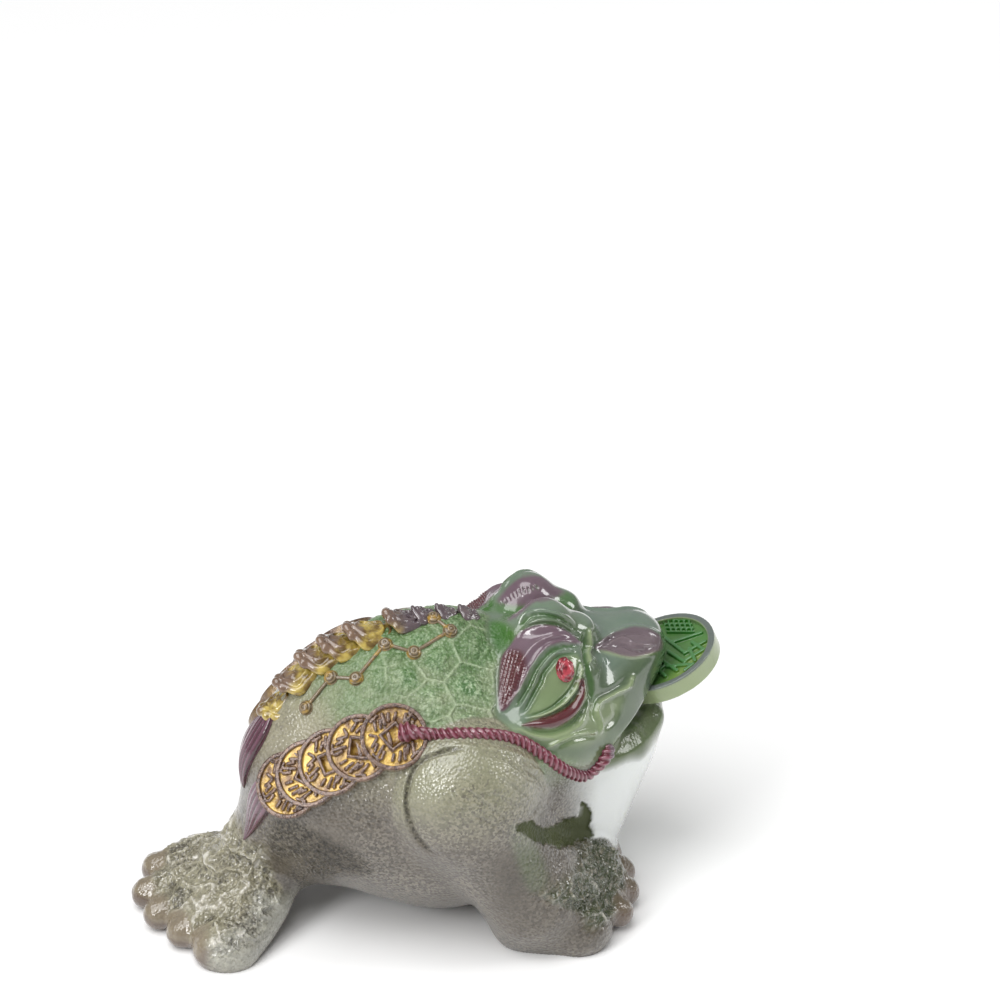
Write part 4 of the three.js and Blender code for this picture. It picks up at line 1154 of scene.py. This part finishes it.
def seat(spot, reach):
    at, facing = seats([spot], reach)
    return at[0], facing[0]


def capsule(x, y, a, b, width):
    """Distance to a rounded bar between two places on a coin's face."""
    dx, dy = b[0] - a[0], b[1] - a[1]
    t = np.clip(((x - a[0]) * dx + (y - a[1]) * dy) / (dx * dx + dy * dy), 0, 1)
    return np.hypot(x - a[0] - t * dx, y - a[1] - t * dy) - width / 2


def string_coin_field(p):
    """A small coin: rim, square hole with a raised border, and rows of slanting strokes."""
    x, y, z = p
    r = away(x, y)
    disc = np.maximum(r - STRING_COIN_RADIUS, np.abs(z) - STRING_COIN_HALF)
    recess = np.maximum(r - STRING_COIN_WELL, STRING_COIN_FLOOR - z)
    square = np.maximum(np.abs(x), np.abs(y))
    raised = np.abs(square - HOLE_BORDER) - 0.28
    for turn in range(4):
        c, s = math.cos(turn * math.pi / 2), math.sin(turn * math.pi / 2)
        u, v = x * c + y * s, -x * s + y * c
        lean = (0.35, -0.3, 0.5, -0.42)[turn]
        for k in range(4):
            across = (k - 1.5) * 0.86
            reach = (0.72, 0.5, 0.8, 0.46)[(k + turn) % 4]
            middle = 3.25 + (0.16, -0.22, 0.1, -0.12)[(k + 2 * turn) % 4]
            low, high = (across - lean, middle - reach), (across + lean, middle + reach)
            raised = np.minimum(raised, capsule(u, v, low, high, 0.56))
        raised = np.minimum(raised, capsule(u, v, (-1.5, 4.35), (-0.1, 4.5), 0.5))
        raised = np.minimum(raised, capsule(u, v, (1.9, 2.3), (2.7, 2.9), 0.54))
    recess = np.maximum(recess, -np.maximum(raised, z - STRING_COIN_STROKE_TOP))
    d = carve(disc, recess, 0.16)
    hole = np.maximum(square - HOLE_HALF, HOLE_FLOOR - z)
    return carve(d, hole, 0.12)


# The large coin's raised bars, in millimetres from its middle: towards the nose, and to the left.
BARS = [((2.0, 4.3), (3.4, -2.7)), ((2.6, 1.5), (7.9, -0.2)), ((3.4, -3.2), (7.6, -3.0)),
    ((1.2, -0.4), (2.6, -5.6)), ((3.0, -5.2), (6.6, -5.0)), ((-0.6, -2.0), (0.6, -6.6)),
    ((4.6, -2.6), (4.2, -6.6)), ((-0.4, -4.2), (3.0, -6.8)), ((-2.6, -1.0), (-1.6, -6.4)),
    ((-3.8, -4.6), (-0.8, -3.6)), ((-5.0, -2.0), (-3.6, 1.6)), ((-5.6, 1.8), (-1.8, 2.4)),
    ((-4.0, 4.6), (0.0, 5.4)), ((-1.2, 3.2), (-0.6, 7.6)), ((5.6, -1.4), (6.4, -4.6)),
    ((1.8, -7.6), (3.6, -7.2)), ((-6.8, -0.6), (-4.8, -0.2))]


def mouth_coin_field(p):
    """The large coin: rim, a lattice near the far edge, and slanting bars."""
    x, y, z = p
    r = away(x, y)
    disc = np.maximum(r - MOUTH_COIN_RADIUS, np.abs(z) - MOUTH_COIN_HALF)
    recess = np.maximum(r - MOUTH_COIN_WELL, MOUTH_COIN_FLOOR - z)
    # The lattice's rows and columns run askew from its corner.
    cx, cy = x - LATTICE_CORNER[0], y - LATTICE_CORNER[1]
    s = (cx * 0.98 - cy * 0.19) / LATTICE_SCALE
    t = (-cx * 0.7 - cy * 0.7) / LATTICE_SCALE
    u = np.abs((s / 0.8) % 1 - 0.5) * 0.8
    v = np.abs((t / 0.95) % 1 - 0.5) * 0.95
    lattice = np.minimum(0.4 - u, 0.475 - v) - 0.14
    window = np.maximum.reduce([-s, s - 4.4, -t, t - 2.9])
    raised = np.maximum(lattice, window)
    for a, b in BARS:
        raised = np.minimum(raised, capsule(x, y, a, b, 0.62))
    recess = np.maximum(recess, -np.maximum(raised, z - MOUTH_COIN_BAR_TOP))
    return carve(disc, recess, 0.25)


def coin_mesh(field, radius, half, step):
    return net_of(field, (-radius - 3 * step, -radius - 3 * step, -half - 3 * step),
                  (radius + 5 * step, radius + 5 * step, half + 5 * step), step)


def joined(parts):
    """The points and the faces of all the parts as one mesh's."""
    start = np.cumsum([0] + [len(points) for points, _ in parts])
    faces = [faces + k for (_, faces), k in zip(parts, start)]
    return np.vstack([points for points, _ in parts]), np.vstack(faces)


def coins():
    step = 0.11
    blank, faces = coin_mesh(string_coin_field, STRING_COIN_RADIUS, STRING_COIN_HALF, step)
    paintwork = gold_material()
    x, y, z = np.tile(blank, (len(STRING), 1)).T
    high = smooth(z, STRING_COIN_FLOOR + 0.08, STRING_COIN_HALF - 0.08)
    edge = smooth(-z, -STRING_COIN_FLOOR + 0.1, -STRING_COIN_FLOOR + 0.5)
    edge *= smooth(np.hypot(x, y), STRING_COIN_RADIUS - 0.6, STRING_COIN_RADIUS - 0.2)
    for side, name in ((1, "right"), (-1, "left")):
        parts = []
        for k, spot in enumerate(STRING):
            if side < 0:
                spot = tuple(v + k * further for v, further in zip(spot, LEFT_STRING_STEP))
            at, facing = seat(spot, 4)
            lean = unit(facing + (0.06, -0.2, 0.2))
            turn = (0.5, -0.3, 0.2, -0.6, 0.1)[k]
            c, s = math.cos(turn), math.sin(turn)
            spin = np.array([[c, s, 0], [-s, c, 0], [0, 0, 1]])
            points = blank @ spin @ axes_at(lean) + (at + lean * 0.24)
            parts.append((points, faces) if side > 0 else (points * (1, -1, 1), faces[:, ::-1]))
        piece = make_object(f"coin_string_{name}", *joined(parts), paintwork)
        paint(piece, "high", high * (1 - edge))
        paint(piece, "side", edge)
        thin(piece, STRING_TRIANGLES[name])


def mouth_coin():
    step = 0.15
    blank, faces = coin_mesh(mouth_coin_field, MOUTH_COIN_RADIUS, MOUTH_COIN_HALF, step)
    facing = np.array([-math.sin(COIN_PITCH), 0, math.cos(COIN_PITCH)])
    points = blank @ axes_at(facing) + (COIN_FACE - facing * MOUTH_COIN_HALF)
    piece = make_object("mouth_coin", points, faces, coin_resin())
    x, y, z = blank.T
    r = np.hypot(x, y)
    top = smooth(z, 0.5, 0.85)
    paint(piece, "green", top * smooth(8.9 - r, 0, 0.2))
    paint(piece, "yellow", smooth(-y + 0.4 * x, 4.5, 8.5) * 0.8)
    paint(piece, "rim", smooth(r, 8.8, 9.0) * smooth(z, 1.2, 1.5))
    paint(piece, "stroke", smooth(z, 1.0, 1.25) * smooth(8.7 - r, 0, 0.2))
    thin(piece, MOUTH_COIN_TRIANGLES)


# Trim: cords, beads, plates, leaves and pupils.


def sweep(stations, radius, sides, twist=0.0, lobes=0, depth=0.0, taper=None):
    """A closed tube along the stations; its section can have lobes that turn along the way."""
    stations = np.array(stations, float)
    ways = np.gradient(stations, axis=0)
    ways /= np.linalg.norm(ways, axis=1, keepdims=True)
    side = unit(np.cross(ways[0], (0, 0, 1.0)))
    rings, lobe, angle = [], [], around(sides)
    gone = np.concatenate([[0], np.cumsum(np.linalg.norm(np.diff(stations, axis=0), axis=1))])
    for k, (at, way) in enumerate(zip(stations, ways)):
        side = unit(side - way * (side @ way))
        other = np.cross(way, side)
        t = gone[k] / gone[-1]
        size = radius * (taper(t) if taper else 1.0)
        high = np.abs(np.cos(lobes * (angle - twist * gone[k]) / 2)) if lobes else np.ones(sides)
        r = size * (1 - depth * (1 - high))
        rings.append(at + side * (r * np.cos(angle))[:, None] + other * (r * np.sin(angle))[:, None])
        lobe.append(high)
    points = np.vstack(rings + [stations[:1], stations[-1:]])
    return points, tube_faces(len(stations), sides), np.concatenate(lobe + [[1, 1]])


def cord():
    lines = []
    for inward, knot_height in ((0, 1.7), (LEFT_CORD_INWARD, 1.3)):
        spots = np.array(CORD)
        spots[:, 1] += [inward * math.sin(math.pi * min(i / 9, 1)) for i in range(len(CORD))]
        if inward:
            spots[:4, 2] -= LEFT_CORD_DROP
        at, facing = seats(spots, 1.5)
        height = np.where(np.arange(len(CORD)) < 2, knot_height, 0.1)
        lines.append(curve(at + facing * height[:, None], 360))

    def taper(t):
        knot = 1 + 0.6 * math.exp(-((t - 0.025) / 0.025) ** 2)
        bulge = 1 + 0.22 * math.exp(-((t - 0.965) / 0.03) ** 2)
        return knot * bulge * math.sqrt(max(1 - (max(t - 0.965, 0) / 0.036) ** 2, 0.01))

    paintwork = rope_material()
    for side, name, line in ((1, "right", lines[0]), (-1, "left", lines[1])):
        points, faces, lobe = sweep(line, CORD_RADIUS, 24, 1.75, CORD_STRANDS, 0.32, taper)
        faces = faces if side > 0 else faces[:, ::-1]
        piece = make_object(f"cord_{name}", points * (1, side, 1), faces, paintwork)
        # Painted highlight on the crests of the strands.
        paint(piece, "high", smooth(lobe, 0.75, 1.0) * 0.55)
        paint(piece, "end", smooth(points[:, 0], 27.2, 28.0))


def beads():
    stars = list(zip(*seats(STARS, 1)))
    parts, high = [], []
    rings, sides = 30, 40
    theta, phi = np.linspace(0.02, np.pi - 0.02, rings), around(sides)
    ring = 0.06 * np.cos(theta * 14) * (theta < 1.5)
    r = STAR_RADIUS + ring
    profile = np.stack([r * np.sin(theta), 1.05 * r * np.cos(theta)], 1)
    ball = np.concatenate([
        np.stack([a * np.cos(phi), a * np.sin(phi), np.full(sides, b)], 1) for a, b in profile])
    for at, facing in stars:
        parts.append((ball @ axes_at(facing) + (at - facing * 0.2), ball_faces(rings, sides)))
        high.append(np.repeat(smooth(ring, -0.03, 0.04), sides))
    for (a, _), (b, _) in zip(stars, stars[1:]):
        line, out = seats(np.linspace(a, b, 12), 1)
        line = line + out * 0.12
        points, faces, _ = sweep(line, STAR_LINE_RADIUS, 12)
        parts.append((points, faces))
        high.append(np.full(len(points), 0.4))
    piece = make_object("linked_beads", *joined(parts), bead_material())
    paint(piece, "high", np.concatenate(high))


def plate_field(p):
    """Overlapping arched scales along the spine, each with a rolled wavy rim and knobs at its tail end."""
    x, y, z = p
    d = np.full_like(x, 9.0)
    for i, (px, pz, half) in enumerate(PLATES):
        before, after = PLATES[max(i - 1, 0)], PLATES[min(i + 1, len(PLATES) - 1)]
        ahead = unit(np.array([after[0] - before[0], 0, after[1] - before[1]], float))
        up = unit(np.array([-ahead[2], 0, ahead[0]]) + 0.4 * ahead)
        fwd = np.array([up[2], 0, -up[0]])
        u = (x - px) * fwd[0] + (z - pz) * fwd[2]
        w = (x - px) * up[0] + (z - pz) * up[2]
        w = w + 0.55 * y * y / half
        angle = np.arctan2(y, -u)
        wave = np.cos(5 * angle)
        wavy = half * (1 + 0.07 * wave)
        r = away(u, 1.05 * y)
        sheet = np.maximum(r - wavy * 0.9, np.abs(w + 0.15 + 0.1 * wave) - 0.42)
        big = half > 3
        rim = away(r - wavy * 0.86, w - 0.12 - 0.12 * wave) - (0.5 if big else 0.36)
        fold = away(r - wavy * 0.56, w - 0.32 - 0.1 * wave) - 0.34
        one = blend(blend(sheet, rim, 0.3), fold, 0.25)
        if big:
            for ky, size in ((-0.42, 0.75), (0.42, 0.75), (0.0, 0.85)):
                back = u + half * (0.84 - 0.5 * ky * ky)
                one = blend(one, away(back, y - ky * half, w - 0.1) - size, 0.4)
        d = blend(d, one, 0.15)
    return d


def plates():
    step = 0.16
    points, faces = net_of(plate_field, (-32, -6, 34), (13, 6, 59), step)
    points[:, 2] = np.minimum(points[:, 2], TOP)
    piece = make_object("spine_plates", points, faces, plate_material())
    thin(piece, PLATE_TRIANGLES)
    p = places(piece)
    shell = toad(p.T)
    paint(piece, "high", smooth(shell, 1.2, 2.0))
    paint(piece, "front", smooth(p[:, 0], -7, -3))


def leaves():
    """Three pointed leaves laid on the rump, ribbed along their length."""
    paintwork = leaf_material()
    sides, count = 48, 70
    shares, angle = np.linspace(0.001, 0.999, count), around(sides)
    v = np.cos(angle)
    rib = 0.5 + 0.5 * np.cos(2 * np.pi * 2.5 * v + 0.6)
    for name, a, b, half, thick, bow in LEAVES:
        a, b = np.array(a), np.array(b)
        way = unit(b - a)
        rings, groove = [], []
        for t, at, facing in zip(shares, *seats(a + (b - a) * shares[:, None], 1.5)):
            across = unit(np.cross(facing, way))
            at = at + across * bow * math.sin(math.pi * t)
            wide = half * math.sin(math.pi * t ** 0.75) ** 0.8 * (1 - 0.25 * t) + 0.02
            deep = thick * math.sin(math.pi * t ** 0.8) ** 0.6 + 0.02
            out = np.maximum(np.sin(angle), -0.5) * deep * (1 - 0.22 * (1 - rib) * (np.sin(angle) > 0))
            out += 0.18 * deep * np.exp(-((np.abs(v) - 0.93) / 0.08) ** 2)
            rings.append(at + across * (wide * v)[:, None] + facing * out[:, None])
            groove.append((1 - rib) * (np.sin(angle) > 0.1))
        points = np.vstack(rings + [rings[0].mean(0, keepdims=True), rings[-1].mean(0, keepdims=True)])
        faces = tube_faces(count, sides)
        piece = make_object(name, points, outward(points, faces), paintwork)
        paint(piece, "low", np.concatenate(groove + [[0, 0]]))


def pupils():
    paintwork = pupil_material()
    at, facing = seat(PUPIL, 2)
    rings, sides = 36, 56
    theta, phi = np.linspace(0.03, np.pi - 0.03, rings), around(sides)
    q = []
    for t in theta:
        ring = 0.10 * math.exp(-((t - 0.75) / 0.1) ** 2)
        streak = 0.07 * np.cos(7 * phi) * math.exp(-((t - 1.1) / 0.25) ** 2)
        r = 1 - ring - streak
        ball = [r * math.sin(t) * np.cos(phi), r * math.sin(t) * np.sin(phi), r * math.cos(t)]
        q.append(np.stack([size * v for size, v in zip(PUPIL_SIZE, ball)], 1))
    points, faces = np.concatenate(q) @ axes_at(facing) + at, ball_faces(rings, sides)
    make_object("pupil_right", points, faces, paintwork)
    make_object("pupil_left", points * (1, -1, 1), faces[:, ::-1], paintwork)


def keep_inside(given):
    """Moves any point that stands past the part's own box back onto it."""
    low, high = (np.array(v) for v in cad_box)
    for piece in bpy.data.objects:
        if piece.type == "MESH" and piece.name not in given:
            at = np.empty(3 * len(piece.data.vertices), np.float32)
            piece.data.vertices.foreach_get("co", at)
            at = np.clip(at.reshape(-1, 3), low + (1e-6, 1e-6, 0), high - 1e-6)
            piece.data.vertices.foreach_set("co", at.astype(np.float32).ravel())
            piece.data.update()


given = {piece.name for piece in bpy.data.objects}
body()
coins()
mouth_coin()
cord()
beads()
plates()
leaves()
pupils()
keep_inside(given)


# Camera, floor and light.

SENSOR = 36
FLOOR_SIZE, FLOOR_COLOUR = 6, (0.95, 0.95, 0.95, 1)
# How strong the light from all round is; then the soft sky's strength, width and turn in radians.
WORLD_LIGHT = 0.34
SKY_LIGHT, SKY_WIDTH, SKY_TURN = 2.15, 0.9, (0.15, -0.3, 0)
# A lamp's name, place, target and size in metres, and its power in watts.
LAMPS = [("left_soft", (-0.6, -0.35, 0.45), (0, 0, 0.03), (0.25, 0.3), 2.6),
         ("right_soft", (0.7, -0.2, 0.4), (0.02, 0, 0.03), (0.2, 0.3), 1.4)]


def camera():
    data = bpy.data.cameras.new("camera")
    data.lens = FOCAL / 1000 * SENSOR
    data.sensor_width = SENSOR
    data.clip_start, data.clip_end = 0.01, 10
    made = put("camera", data)
    turn = Matrix((RIGHT, UP, -FORWARD)).transposed().to_4x4()
    made.matrix_world = Matrix.Translation(Vector((EYE + SHIFT) * 0.001)) @ turn
    bpy.context.scene.camera = made


def lamp(name, place, target, size, power):
    data = bpy.data.lights.new(name, "AREA")
    data.shape = "RECTANGLE"
    data.size, data.size_y = size
    data.energy = power
    made = put(name, data)
    made.location = place
    made.rotation_mode = "QUATERNION"
    made.rotation_quaternion = (Vector(target) - Vector(place)).to_track_quat("-Z", "Y")


def stage():
    bpy.ops.mesh.primitive_plane_add(size=FLOOR_SIZE, location=(0, 0, 0))
    floor = bpy.context.object
    floor.name = "floor"
    made, _, shader = material("pale_floor")
    shader.inputs["Base Color"].default_value = FLOOR_COLOUR
    shader.inputs["Roughness"].default_value = 0.7
    floor.data.materials.append(made)
    world = bpy.data.worlds.new("studio")
    world.use_nodes = True
    background = world.node_tree.nodes["Background"]
    background.inputs["Color"].default_value = (1, 1, 1, 1)
    background.inputs["Strength"].default_value = WORLD_LIGHT
    bpy.context.scene.world = world
    sky = bpy.data.lights.new("sky_soft", "SUN")
    sky.energy, sky.angle = SKY_LIGHT, SKY_WIDTH
    put("sky_soft", sky).rotation_euler = SKY_TURN
    for values in LAMPS:
        lamp(*values)


camera()
stage()
bpy.context.scene.view_settings.view_transform = "Standard"
